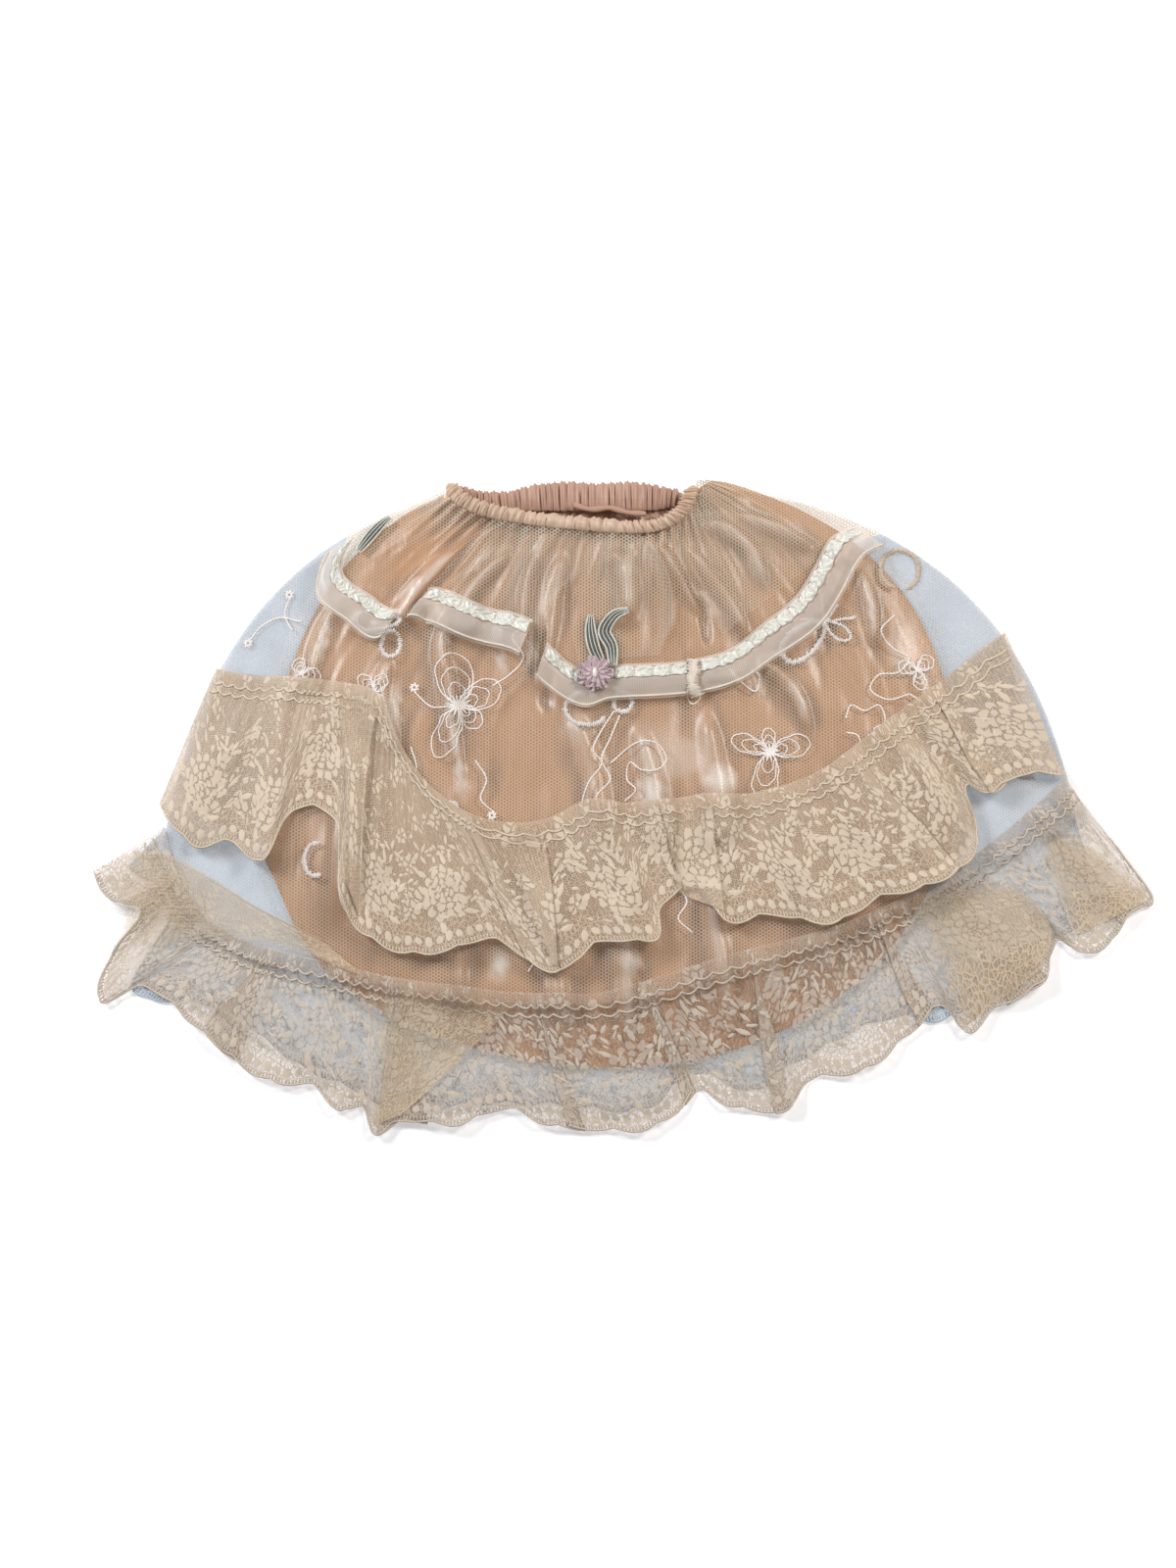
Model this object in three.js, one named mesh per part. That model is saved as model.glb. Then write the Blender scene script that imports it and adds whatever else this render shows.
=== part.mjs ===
// A gathered tulle skirt laid flat on its back, in millimetres, +Z up.
// +X is to the wearer's left, which is the right of the picture, and +Y is towards the waist.
// Each cloth is laid on what lies below it: its points take the highest height within reach, plus a gap.
import * as THREE from "three";

// Driving sizes
const cloth = 1.2; // wall of satin, net and lace
const casingWall = 2.4; // two plies of satin round the elastic
const seamGap = 0.3; // between pieces that are sewn together
const restGap = 0.4; // between a cloth and what it lies on
const trimBand = 26; // organza trim, edge to edge
const ribbonWidth = 9; // satin ribbon threaded through the trim
const rayLength = 330; // waist to hem along a ray of the net, used to turn the trim's width into a share
const frontGathers = 20; // gathers that run out of the waist into the front
const gatherHeight = 3;
const gatherDies = 0.4; // the share of the ray over which they open out
const corner = { from: 0.6, over: 0.1, height: 0.4 }; // the front's right corner, where they stand lower
const frontRipples = 26; // ripples of the front casing
const backRipples = 22;
const casingRound = 1.5; // how high the elastic stands
const casingRipple = 1.5; // and each ripple over it, and past its upper edge
const ribbonMiddle = -0.26; // from the middle of the trim's band, as a share of its width
const ribbonInset = 0.003; // how much shorter than its trim the ribbon is at each end, as a share of the panel
const ribbonPuff = 0.8; // how high it puffs up between its loops
const steepest = 1.5; // the most that a wall gains in height where it slopes
const backPull = 0.955; // the back tiers' scalloped edge stays this much inside the front's

const colours = {
  satin: 0xd9b093,
  net: 0xe2cdb6,
  lace: 0xdcc6a6,
  organza: 0xd8c3a4,
  ribbon: 0xe9e8d8,
  leaf: 0x8b8f7f,
  petal: 0xcbb0b4,
  pearl: 0xf4eee6,
};

// The line from which the front's rays are worked out, from the left of the picture to the right
const frontWaist = [
  [-129, 226],
  [-110, 203],
  [-73, 190],
  [-20, 182],
  [32, 179],
  [67, 190],
  [83, 208],
  [91, 231],
];
const backWaist = [
  [-127, 227],
  [-87, 214],
  [-52, 214],
  [-17, 214],
  [18, 214],
  [50, 214],
  [88, 231],
];

// How far the front's top edge lies above that line, as a share of the ray, at even shares along the panel
const waistRise = [0.003, 0.016, 0.03, 0.038, 0.043, 0.05, 0.065, 0.093, 0.085, 0.077, 0.06];

// Each line crosses the panel from left to right: the hip is halfway down, the hem is its lower edge.
const netLines = {
  hip: [
    [-262, 139],
    [-216, 61],
    [-129, 26],
    [-13, 15],
    [102, 26],
    [190, 61],
    [249, 153],
  ],
  hem: [
    [-326, -31],
    [-286, -95],
    [-174, -129],
    [-17, -144],
    [137, -102],
    [246, -49],
    [324, -10],
  ],
};
const satinLines = {
  hip: [
    [-224, 132],
    [-192, 61],
    [-115, 22],
    [-13, 11],
    [88, 22],
    [172, 61],
    [214, 136],
  ],
  hem: [
    [-253, -42],
    [-213, -116],
    [-136, -163],
    [-17, -188],
    [95, -170],
    [179, -116],
    [234, -38],
  ],
};

// Where the yoke ends and the embroidered net begins: share along the panel, share down the ray
const trimLine = [
  { along: 0, down: 0.225 },
  { along: 0.05, down: 0.315 },
  { along: 0.115, down: 0.285 },
  { along: 0.17, down: 0.265 },
  { along: 0.195, down: 0.19 },
  { along: 0.285, down: 0.19 },
  { along: 0.37, down: 0.2 },
  { along: 0.415, down: 0.255 },
  { along: 0.47, down: 0.3 },
  { along: 0.5, down: 0.283 },
  { along: 0.6, down: 0.272 },
  { along: 0.66, down: 0.263 },
  { along: 0.745, down: 0.226 },
  { along: 0.84, down: 0.215 },
  { along: 0.9, down: 0.215 },
  { along: 0.955, down: 0.225 },
  { along: 1, down: 0.275 },
];

// Stretches of the trim that show between the folds of the front
const trimStretches = [
  { name: "side", from: 0.012, to: 0.175 },
  { name: "left", from: 0.19, to: 0.375 },
  { name: "centre", from: 0.405, to: 0.6 },
  { name: "right", from: 0.61, to: 0.985 },
];

// Large folds of the front satin, from the waist down: where, half width, height, and how far down it dies
const satinFolds = [
  { along: 0.05, half: 0.035, height: 4.8, dies: 0.9 },
  { along: 0.14, half: 0.03, height: 4.2, dies: 1.1 },
  { along: 0.24, half: 0.03, height: 3.6, dies: 0.7 },
  { along: 0.31, half: 0.035, height: 4.8, dies: 1.2 },
  { along: 0.4, half: 0.03, height: 5.4, dies: 0.6 },
  { along: 0.5, half: 0.04, height: 3.6, dies: 1.2 },
  { along: 0.6, half: 0.035, height: 5.4, dies: 0.8 },
  { along: 0.68, half: 0.03, height: 4.8, dies: 1.1 },
  { along: 0.77, half: 0.035, height: 4.2, dies: 1.2 },
  { along: 0.86, half: 0.035, height: 4.8, dies: 0.9 },
  { along: 0.95, half: 0.03, height: 4.2, dies: 1.1 },
];

// Loose folds of the net over the satin
const netFolds = [
  { along: 0.09, half: 0.05, height: 2.5, dies: 1.2 },
  { along: 0.28, half: 0.06, height: 3.5, dies: 1.1 },
  { along: 0.39, half: 0.04, height: 4, dies: 0.55 },
  { along: 0.55, half: 0.06, height: 2, dies: 1.2 },
  { along: 0.7, half: 0.05, height: 3, dies: 1 },
  { along: 0.85, half: 0.06, height: 3, dies: 1.2 },
];

// Lace tiers: where each section is sewn on, where its scalloped edge lies, how high the ruffle stands there
const upperTier = [
  { sewn: [-290, 98], edge: [-330, -1], lift: 2 },
  { sewn: [-265, 93], edge: [-304, -31], lift: 7 },
  { sewn: [-244, 92], edge: [-276, -29], lift: 3 },
  { sewn: [-227, 89], edge: [-256, -45], lift: 9 },
  { sewn: [-213, 88], edge: [-232, -6], lift: 1 },
  { sewn: [-197, 86], edge: [-204, -12], lift: 2 },
  { sewn: [-181, 82], edge: [-197, -74], lift: 9 },
  { sewn: [-169, 72], edge: [-183, -95], lift: 6 },
  { sewn: [-162, 52], edge: [-155, -109], lift: 3 },
  { sewn: [-151, 31], edge: [-120, -108], lift: 7 },
  { sewn: [-134, 10], edge: [-93, -99], lift: 4 },
  { sewn: [-109, -8], edge: [-46, -124], lift: 0 },
  { sewn: [-80, -15], edge: [-32, -114], lift: 7 },
  { sewn: [-52, -12], edge: [-15, -102], lift: 4 },
  { sewn: [-24, 1], edge: [24, -100], lift: 9 },
  { sewn: [4, -1], edge: [29, -74], lift: 2 },
  { sewn: [29, 1], edge: [55, -60], lift: 0 },
  { sewn: [57, 5], edge: [73, -87], lift: 7 },
  { sewn: [81, 5], edge: [107, -82], lift: 3 },
  { sewn: [106, 9], edge: [148, -89], lift: 8 },
  { sewn: [130, 17], edge: [182, -70], lift: 4 },
  { sewn: [151, 29], edge: [211, -64], lift: 8 },
  { sewn: [169, 43], edge: [242, -47], lift: 5 },
  { sewn: [183, 54], edge: [253, -28], lift: 9 },
  { sewn: [197, 65], edge: [246, 13], lift: 0 },
  { sewn: [214, 77], edge: [262, 6], lift: 8 },
  { sewn: [235, 93], edge: [282, 19], lift: 4 },
  { sewn: [256, 111], edge: [305, 20], lift: 7 },
  { sewn: [276, 125], edge: [316, 20], lift: 2 },
];
const lowerTier = [
  { sewn: [-325, -17], edge: [-377, -49], lift: 1 },
  { sewn: [-318, -42], edge: [-360, -71], lift: 5 },
  { sewn: [-311, -58], edge: [-340, -75], lift: 7 },
  { sewn: [-302, -73], edge: [-364, -113], lift: 2 },
  { sewn: [-293, -84], edge: [-369, -143], lift: 5 },
  { sewn: [-279, -92], edge: [-338, -131], lift: 1 },
  { sewn: [-262, -100], edge: [-304, -156], lift: 6 },
  { sewn: [-241, -106], edge: [-265, -189], lift: 3 },
  { sewn: [-226, -110], edge: [-242, -200], lift: 7 },
  { sewn: [-208, -114], edge: [-218, -201], lift: 3 },
  { sewn: [-192, -118], edge: [-197, -220], lift: 7 },
  { sewn: [-180, -121], edge: [-182, -215], lift: 1 },
  { sewn: [-168, -124], edge: [-174, -236], lift: 6 },
  { sewn: [-156, -126], edge: [-155, -226], lift: 2 },
  { sewn: [-130, -130], edge: [-116, -229], lift: 8 },
  { sewn: [-104, -133], edge: [-81, -217], lift: 3 },
  { sewn: [-78, -136], edge: [-52, -229], lift: 7 },
  { sewn: [-50, -137], edge: [-17, -232], lift: 2 },
  { sewn: [-20, -137], edge: [18, -232], lift: 7 },
  { sewn: [4, -132], edge: [39, -219], lift: 3 },
  { sewn: [26, -125], edge: [55, -205], lift: 0 },
  { sewn: [48, -118], edge: [74, -215], lift: 6 },
  { sewn: [72, -111], edge: [99, -219], lift: 2 },
  { sewn: [96, -104], edge: [118, -218], lift: 7 },
  { sewn: [120, -98], edge: [130, -198], lift: 1 },
  { sewn: [144, -92], edge: [172, -190], lift: 8 },
  { sewn: [168, -83], edge: [204, -163], lift: 3 },
  { sewn: [188, -74], edge: [227, -145], lift: 0 },
  { sewn: [203, -67], edge: [244, -165], lift: 7 },
  { sewn: [217, -59], edge: [260, -150], lift: 4 },
  { sewn: [234, -49], edge: [298, -127], lift: 8 },
  { sewn: [250, -38], edge: [309, -97], lift: 0 },
  { sewn: [264, -27], edge: [325, -107], lift: 6 },
  { sewn: [278, -16], edge: [347, -100], lift: 3 },
  { sewn: [292, -4], edge: [359, -79], lift: 6 },
  { sewn: [304, 6], edge: [377, -72], lift: 2 },
  { sewn: [316, 18], edge: [351, -29], lift: 5 },
];

// Casings: upper and lower edge at each section
const frontCasing = [
  { upper: [-121, 234], lower: [-129, 228] },
  { upper: [-111, 222], lower: [-117, 214] },
  { upper: [-97, 216], lower: [-101, 207] },
  { upper: [-75, 212], lower: [-79, 203] },
  { upper: [-46, 208], lower: [-48, 199] },
  { upper: [-15, 205], lower: [-15, 196] },
  { upper: [11, 204], lower: [13, 195] },
  { upper: [28, 206], lower: [34, 199] },
  { upper: [38, 212], lower: [47, 208] },
  { upper: [43, 220], lower: [53, 219] },
  { upper: [46, 229], lower: [57, 231] },
];
const backCasing = [
  { upper: [-119, 234], lower: [-117, 222] },
  { upper: [-104, 229], lower: [-103, 216] },
  { upper: [-83, 228], lower: [-82, 214] },
  { upper: [-61, 233], lower: [-60, 214] },
  { upper: [-40, 235], lower: [-40, 214] },
  { upper: [-15, 234], lower: [-15, 214] },
  { upper: [8, 235], lower: [8, 214] },
  { upper: [28, 232], lower: [27, 215] },
  { upper: [46, 229], lower: [44, 219] },
];

// Leaves of the applique, as a curved mid line with the leaf's half width at its middle
const leaves = [
  { name: "leaf_straight", line: [[-22, 135], [-21, 118], [-14, 99]], half: 4.5 },
  { name: "leaf_curved", line: [[3, 137], [-12, 128], [-6, 99]], half: 5 },
  { name: "leaf_side", line: [[-168, 208], [-180, 197], [-190, 184]], half: 4 },
];
const flower = { at: [-19, 91], radius: 15, petals: 7, thick: 2 };
const leafRidge = 0.6;
const pearlRadius = 2.5;

// The heap of cloth on the floor: the highest point laid so far in each small square
const cell = 2;
const halfWidth = 450;
const halfDepth = 330;
const cellsAcross = Math.ceil((2 * halfWidth) / cell);
const cellsUp = Math.ceil((2 * halfDepth) / cell);
const heap = new Float32Array(cellsAcross * cellsUp).fill(-restGap);

const column = (x) => Math.floor((x + halfWidth) / cell);
const row = (y) => Math.floor((y + halfDepth) / cell);

// The heap's highest point under a four-sided patch, with a square to spare all round
function highestUnder(a, b, c, d) {
  let top = -restGap;
  const m = Math.ceil(Math.max(a.distanceTo(b), c.distanceTo(d)) / cell);
  const n = Math.ceil(Math.max(a.distanceTo(c), b.distanceTo(d)) / cell);
  const p = new THREE.Vector3();
  const q = new THREE.Vector3();
  for (let i = 0; i <= m; i++)
    for (let j = 0; j <= n; j++) {
      p.lerpVectors(a, b, i / m).lerp(q.lerpVectors(c, d, i / m), j / n);
      const k = row(p.y) * cellsAcross + column(p.x);
      for (const side of [-cellsAcross, 0, cellsAcross])
        top = Math.max(top, heap[k + side - 1], heap[k + side], heap[k + side + 1]);
    }
  return top;
}

// Marks a triangle on the heap, at points a little over a millimetre apart.
function mark(a, b, c) {
  const steps = Math.ceil(Math.max(a.distanceTo(b), a.distanceTo(c), b.distanceTo(c)) / 1.3);
  const p = new THREE.Vector3();
  for (let i = 0; i <= steps; i++)
    for (let j = 0; j <= steps - i; j++) {
      p.copy(a).multiplyScalar(1 - (i + j) / steps);
      p.addScaledVector(b, i / steps).addScaledVector(c, j / steps);
      const k = row(p.y) * cellsAcross + column(p.x);
      heap[k] = Math.max(heap[k], p.z);
    }
}

const smooth = (t) => THREE.MathUtils.smoothstep(t, 0, 1);
const curve = (points) =>
  new THREE.CatmullRomCurve3(points.map(([x, y, z = 0]) => new THREE.Vector3(x, y, z)), false, "centripetal");

// A closed wall over a grid of top and bottom points: along runs left to right, down runs from waist to hem.
function wallGeometry(bottom, top, columns, rows) {
  const across = rows + 1;
  const count = (columns + 1) * across;
  const corners = [];
  const face = (a, b, c) => corners.push(a, b, c);
  for (let i = 0; i < columns; i++)
    for (let j = 0; j < rows; j++) {
      const a = i * across + j;
      const right = a + across;
      face(a, a + 1, right);
      face(a + 1, right + 1, right);
      face(count + a, count + right, count + a + 1);
      face(count + a + 1, count + right, count + right + 1);
    }
  const rim = [];
  for (let j = 0; j < rows; j++) rim.push(j);
  for (let i = 0; i < columns; i++) rim.push(i * across + rows);
  for (let j = rows; j > 0; j--) rim.push(columns * across + j);
  for (let i = columns; i > 0; i--) rim.push(i * across);
  rim.forEach((a, k) => {
    const b = rim[(k + 1) % rim.length];
    face(count + a, count + b, b);
    face(count + a, b, a);
  });
  const geometry = new THREE.BufferGeometry();
  geometry.setFromPoints([...top, ...bottom]);
  geometry.setIndex(corners);
  geometry.computeVertexNormals();
  return geometry;
}

const skirt = new THREE.Group();

function add(name, geometry, finish) {
  const shine = { satin: 0.35, ribbon: 0.3, pearl: 0.2 };
  const material = new THREE.MeshStandardMaterial({
    color: colours[finish],
    roughness: shine[finish] ?? 0.85,
    metalness: 0,
  });
  const mesh = new THREE.Mesh(geometry, material);
  mesh.name = name;
  skirt.add(mesh);
}

// Lays one cloth on the heap.
// place gives the plan point of (along, down), and lift its height over what lies below.
function lay(name, finish, { columns, rows, place, lift = () => 0, wall = cloth, gap = restGap }) {
  const across = rows + 1;
  const plan = [];
  for (let i = 0; i <= columns; i++)
    for (let j = 0; j <= rows; j++) plan.push(place(i / columns, j / rows));
  const near = (k, di, dj) => {
    const i = Math.floor(k / across) + di;
    const j = (k % across) + dj;
    return i < 0 || i > columns || j < 0 || j > rows ? null : i * across + j;
  };
  const under = plan.map(() => -restGap);
  for (let i = 0; i < columns; i++)
    for (let j = 0; j < rows; j++) {
      const a = i * across + j;
      const patch = [a, a + 1, a + across, a + across + 1];
      const top = highestUnder(...patch.map((k) => plan[k]));
      patch.forEach((k) => (under[k] = Math.max(under[k], top)));
    }
  const bottom = plan.map((p, k) => {
    const i = Math.floor(k / across);
    return p.clone().setZ(under[k] + gap + lift(i / columns, (k % across) / rows));
  });
  const top = bottom.map((p, k) => {
    const slope = (a, b) => {
      const run = Math.hypot(bottom[a].x - bottom[b].x, bottom[a].y - bottom[b].y);
      return (bottom[a].z - bottom[b].z) / run;
    };
    const sideways = slope(near(k, 1, 0) ?? k, near(k, -1, 0) ?? k);
    const endways = slope(near(k, 0, 1) ?? k, near(k, 0, -1) ?? k);
    const steep = Math.min(Math.hypot(1, sideways, endways), steepest);
    return p.clone().setZ(p.z + wall * steep);
  });
  for (let i = 0; i < columns; i++)
    for (let j = 0; j < rows; j++) {
      const a = i * across + j;
      mark(top[a], top[a + 1], top[a + across]);
      mark(top[a + 1], top[a + across + 1], top[a + across]);
    }
  add(name, wallGeometry(bottom, top, columns, rows), finish);
}

// A panel's plan: each ray bends through the waist, hip and hem lines.
function panel(waist, { hip, hem }) {
  const [a, b, c] = [waist, hip, hem].map(curve);
  return (along, down) => {
    const p = a.getPoint(along).multiplyScalar((1 - down) * (1 - 2 * down));
    p.addScaledVector(b.getPoint(along), 4 * down * (1 - down));
    return p.addScaledVector(c.getPoint(along), down * (2 * down - 1));
  };
}

// A strip's plan, between an upper and a lower line
function strip(upper, lower) {
  const [a, b] = [upper, lower].map(curve);
  return (along, down) => a.getPoint(along).lerp(b.getPoint(along), down);
}

const bump = (x) => (Math.abs(x) < 1 ? (1 + Math.cos(Math.PI * x)) / 2 : 0);

// Folds fan out from the waist and die towards the hem.
function foldHeight(folds, along, down) {
  const atWaist = smooth(down * 12);
  const oneFold = (f) => f.height * bump((along - f.along) / f.half) * (1 - smooth(down / f.dies));
  return folds.reduce((sum, f) => sum + oneFold(f) * atWaist, 0);
}

// Gathers are uneven cosines, tight at the waist.
function gathers(along, down) {
  const wave = 0.5 + 0.5 * Math.cos(2 * Math.PI * frontGathers * along + 0.8 * Math.sin(9 * along));
  const share = 1 - (1 - corner.height) * smooth((along - corner.from) / corner.over);
  return gatherHeight * share * wave * (1 - smooth(down / gatherDies));
}

// Where the front's rays start: a negative share, above the waist line
function waistStart(along) {
  const last = waistRise.length - 1;
  const k = Math.min(Math.floor(along * last), last - 1);
  return -THREE.MathUtils.lerp(waistRise[k], waistRise[k + 1], along * last - k);
}

const trimDown = (() => {
  const line = curve(trimLine.map(({ along, down }) => [along, down]));
  const samples = line.getPoints(240);
  return (along) => {
    const k = samples.findIndex((p) => p.x >= along);
    if (k < 1) return samples[Math.max(k, 0)].y;
    const [p, q] = [samples[k - 1], samples[k]];
    return p.y + ((q.y - p.y) * (along - p.x)) / (q.x - p.x);
  };
})();

const bandShare = trimBand / rayLength;
const edgeShare = seamGap / rayLength;

// Plan of a whole panel, or of its part above or below the trim line
const whole = (place, start) => (along, down) => place(along, start(along) + down * (1 - start(along)));
const above = (place, start = () => 0) => (along, down) => {
  const end = trimDown(along) - edgeShare;
  return place(along, start(along) + down * (end - start(along)));
};
const below = (place) => (along, down) => {
  const start = trimDown(along) + edgeShare;
  return place(along, start + down * (1 - start));
};

// Plan of a stretch of trim, between two shares of its band
const stretch = (place, from, to, high, low) => (along, down) => {
  const at = from + along * (to - from);
  return place(at, trimDown(at) + bandShare * (high + down * (low - high)));
};

const backNet = panel(backWaist, netLines);
const frontNet = panel(frontWaist, netLines);
const backSatin = panel(backWaist, satinLines);
const frontSatin = panel(frontWaist, satinLines);

// The back's tiers follow the front's, pulled in a little, with plain even scallops.
function backTier(rows) {
  const middle = rows.filter((_, i) => i % 2 === 0);
  const pull = (p) => [p[0] * backPull, p[1] * backPull];
  return strip(middle.map((r) => r.sewn), middle.map((r) => pull(r.edge)));
}

function layBack() {
  lay("back_trim", "organza", {
    columns: 24,
    rows: 1,
    place: stretch(backNet, 0.03, 0.97, -0.5, 0.5),
  });
  lay("back_upper_lace", "lace", { columns: 28, rows: 2, place: backTier(upperTier) });
  lay("back_lower_lace", "lace", { columns: 36, rows: 3, place: backTier(lowerTier) });
  lay("back_skirt_net", "net", { columns: 22, rows: 6, place: below(backNet) });
  lay("back_yoke_net", "net", { columns: 22, rows: 2, place: above(backNet) });
  lay("back_satin", "satin", { columns: 22, rows: 6, place: backSatin });
}

function layCasing(name, rows, ripples) {
  const place = strip(rows.map((r) => r.upper), rows.map((r) => r.lower));
  const ripple = (along) => 0.5 + 0.5 * Math.cos(2 * Math.PI * ripples * along + Math.sin(11 * along));
  lay(name, "satin", {
    columns: ripples * 3,
    rows: 3,
    place: (along, down) => {
      const p = place(along, down);
      p.y += casingRipple * ripple(along) * (1 - down);
      return p;
    },
    lift: (along, down) => {
      const rounded = Math.sin(Math.PI * (0.15 + 0.85 * down));
      return rounded * (casingRound + casingRipple * ripple(along));
    },
    wall: casingWall,
  });
}

function layFront() {
  lay("front_satin", "satin", {
    columns: frontGathers * 4,
    rows: 8,
    place: whole(frontSatin, waistStart),
    lift: (along, down) => gathers(along, down) + foldHeight(satinFolds, along, down),
  });
  lay("front_yoke_net", "net", {
    columns: 60,
    rows: 4,
    place: above(frontNet, waistStart),
    lift: (along, down) => foldHeight(netFolds, along, down * trimDown(along)),
  });
  lay("front_skirt_net", "net", {
    columns: 56,
    rows: 9,
    place: below(frontNet),
    lift: (along, down) => {
      const start = trimDown(along);
      return foldHeight(netFolds, along, start + down * (1 - start));
    },
  });
  trimStretches.forEach(({ name, from, to }) => {
    const columns = Math.ceil((to - from) * 60);
    lay("trim_" + name, "organza", { columns, rows: 2, place: stretch(frontNet, from, to, -0.5, 0.5) });
    const half = ribbonWidth / trimBand / 2;
    lay("ribbon_" + name, "ribbon", {
      columns: columns * 2,
      rows: 1,
      place: stretch(frontNet, from + ribbonInset, to - ribbonInset, ribbonMiddle - half, ribbonMiddle + half),
      lift: (along) => ribbonPuff * Math.abs(Math.sin(Math.PI * columns * along)),
      wall: 1,
    });
  });
}

function layTier(name, tier, columnsEach) {
  const sewn = curve(tier.map((r) => r.sewn));
  const edge = curve(tier.map((r) => [...r.edge, r.lift]));
  lay(name, "lace", {
    columns: (tier.length - 1) * columnsEach,
    rows: 4,
    place: (along, down) => {
      const p = sewn.getPoint(along).lerp(edge.getPoint(along), down);
      return p.setZ(0);
    },
    lift: (along, down) => Math.max(0, edge.getPoint(along).z) * smooth(down * 0.6 + 0.2),
  });
}

function layLeaf({ name, line, half }) {
  const middle = curve(line);
  lay(name, "leaf", {
    columns: 8,
    rows: 2,
    place: (along, down) => {
      const p = middle.getPoint(along);
      const way = middle.getTangent(along);
      const out = half * (1 - 2 * down) * (0.35 + 0.65 * Math.sin(Math.PI * (0.1 + 0.8 * along)));
      return p.set(p.x - way.y * out, p.y + way.x * out, 0);
    },
    lift: (along, down) => leafRidge * (1 - Math.abs(2 * down - 1)),
    gap: 0,
  });
}

function addFlower() {
  const [x, y] = flower.at;
  const centre = new THREE.Vector3(x, y, 0);
  const count = flower.petals * 6;
  const rim = Array.from({ length: count }, (_, i) => {
    const turn = (2 * Math.PI * i) / count;
    const r = flower.radius * (0.82 + 0.18 * Math.cos(flower.petals * turn));
    return new THREE.Vector3(x + r * Math.cos(turn), y + r * Math.sin(turn), 0);
  });
  const tops = rim.map((p, i) => highestUnder(centre, p, centre, rim[(i + 1) % count]));
  const base = Math.max(...tops);
  const disc = new THREE.ExtrudeGeometry(new THREE.Shape(rim), { depth: flower.thick, bevelEnabled: false });
  disc.translate(0, 0, base);
  add("flower", disc, "petal");
  const pearl = new THREE.SphereGeometry(pearlRadius, 12, 8);
  pearl.translate(x, y, base + flower.thick + seamGap + pearlRadius);
  add("pearl", pearl, "pearl");
}

layBack();
layCasing("back_casing", backCasing, backRipples);
layFront();
layCasing("front_casing", frontCasing, frontRipples);
layTier("front_lower_lace", lowerTier, 2);
layTier("front_upper_lace", upperTier, 2);
leaves.forEach(layLeaf);
addFlower();

// The origin is on the floor under the middle of the skirt.
const box = new THREE.Box3().setFromObject(skirt);
const middle = box.getCenter(new THREE.Vector3());
skirt.children.forEach((mesh) => mesh.geometry.translate(-middle.x, -middle.y, -box.min.z));

export default skirt;
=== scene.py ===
# A gathered tulle skirt laid flat on its back: satin underskirt, net over it, two lace tiers.
# Lengths are in millimetres until a mesh is made. +Y runs to the waist, +X to the right of the picture.
import math

import bpy
import numpy as np
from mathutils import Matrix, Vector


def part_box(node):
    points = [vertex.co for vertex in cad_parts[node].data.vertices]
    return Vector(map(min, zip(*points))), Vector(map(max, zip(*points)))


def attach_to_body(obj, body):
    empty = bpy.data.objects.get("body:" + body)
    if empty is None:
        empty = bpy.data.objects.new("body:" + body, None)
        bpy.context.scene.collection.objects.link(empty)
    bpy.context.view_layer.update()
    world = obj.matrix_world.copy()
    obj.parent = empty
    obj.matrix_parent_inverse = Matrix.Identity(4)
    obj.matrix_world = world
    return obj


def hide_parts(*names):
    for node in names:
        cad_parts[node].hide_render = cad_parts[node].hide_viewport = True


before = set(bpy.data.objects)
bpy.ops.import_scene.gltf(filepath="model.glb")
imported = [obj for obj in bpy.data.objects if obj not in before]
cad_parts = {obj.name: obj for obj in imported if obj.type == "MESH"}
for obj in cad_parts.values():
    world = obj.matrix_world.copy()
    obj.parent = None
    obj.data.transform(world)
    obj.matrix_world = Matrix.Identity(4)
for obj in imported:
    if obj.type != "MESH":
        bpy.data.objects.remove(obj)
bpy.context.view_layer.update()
print("frame loaded")

flowerAt = (-19, 91)  # the tables below put the appliqued flower here
beadLow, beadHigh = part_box("pearl")
# From the tables to the frame: the middle of the bead's box less the flower's place, where 500 halves a sum
# and turns metres into millimetres
shift = np.array([
    (beadLow.x + beadHigh.x) * 500 - flowerAt[0],
    (beadLow.y + beadHigh.y) * 500 - flowerAt[1],
    0,
])

# The panels, as lines from the left of the picture to the right; the front's rays start above its waist line
frontWaist = [(-129, 226), (-110, 203), (-73, 190), (-20, 182), (32, 179), (67, 190), (83, 208), (91, 231)]
backWaist = [(-127, 227), (-87, 214), (-52, 214), (-17, 214), (18, 214), (50, 214), (88, 231)]
netLines = {
    "hip": [(-262, 139), (-216, 61), (-129, 26), (-13, 15), (102, 26), (190, 61), (249, 153)],
    "hem": [(-326, -31), (-286, -95), (-174, -129), (-17, -144), (137, -102), (246, -49), (324, -10)],
}
satinLines = {
    "hip": [(-224, 132), (-192, 61), (-115, 22), (-13, 11), (88, 22), (172, 61), (214, 136)],
    "hem": [(-253, -42), (-213, -116), (-136, -163), (-17, -188), (95, -170), (179, -116), (234, -38)],
}

# How far above its waist line the front starts, as a share of the ray, at even shares along the panel
waistRise = [0.003, 0.016, 0.03, 0.038, 0.043, 0.05, 0.065, 0.093, 0.085, 0.077, 0.06]

# Where the yoke ends and the embroidered net begins: share along the panel, share down the ray
trimLine = [
    (0, 0.225), (0.05, 0.315), (0.115, 0.285), (0.17, 0.265), (0.195, 0.19), (0.285, 0.19),
    (0.37, 0.2), (0.415, 0.255), (0.47, 0.3), (0.5, 0.283), (0.6, 0.272), (0.66, 0.263),
    (0.745, 0.226), (0.84, 0.215), (0.9, 0.215), (0.955, 0.225), (1, 0.275),
]

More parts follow.
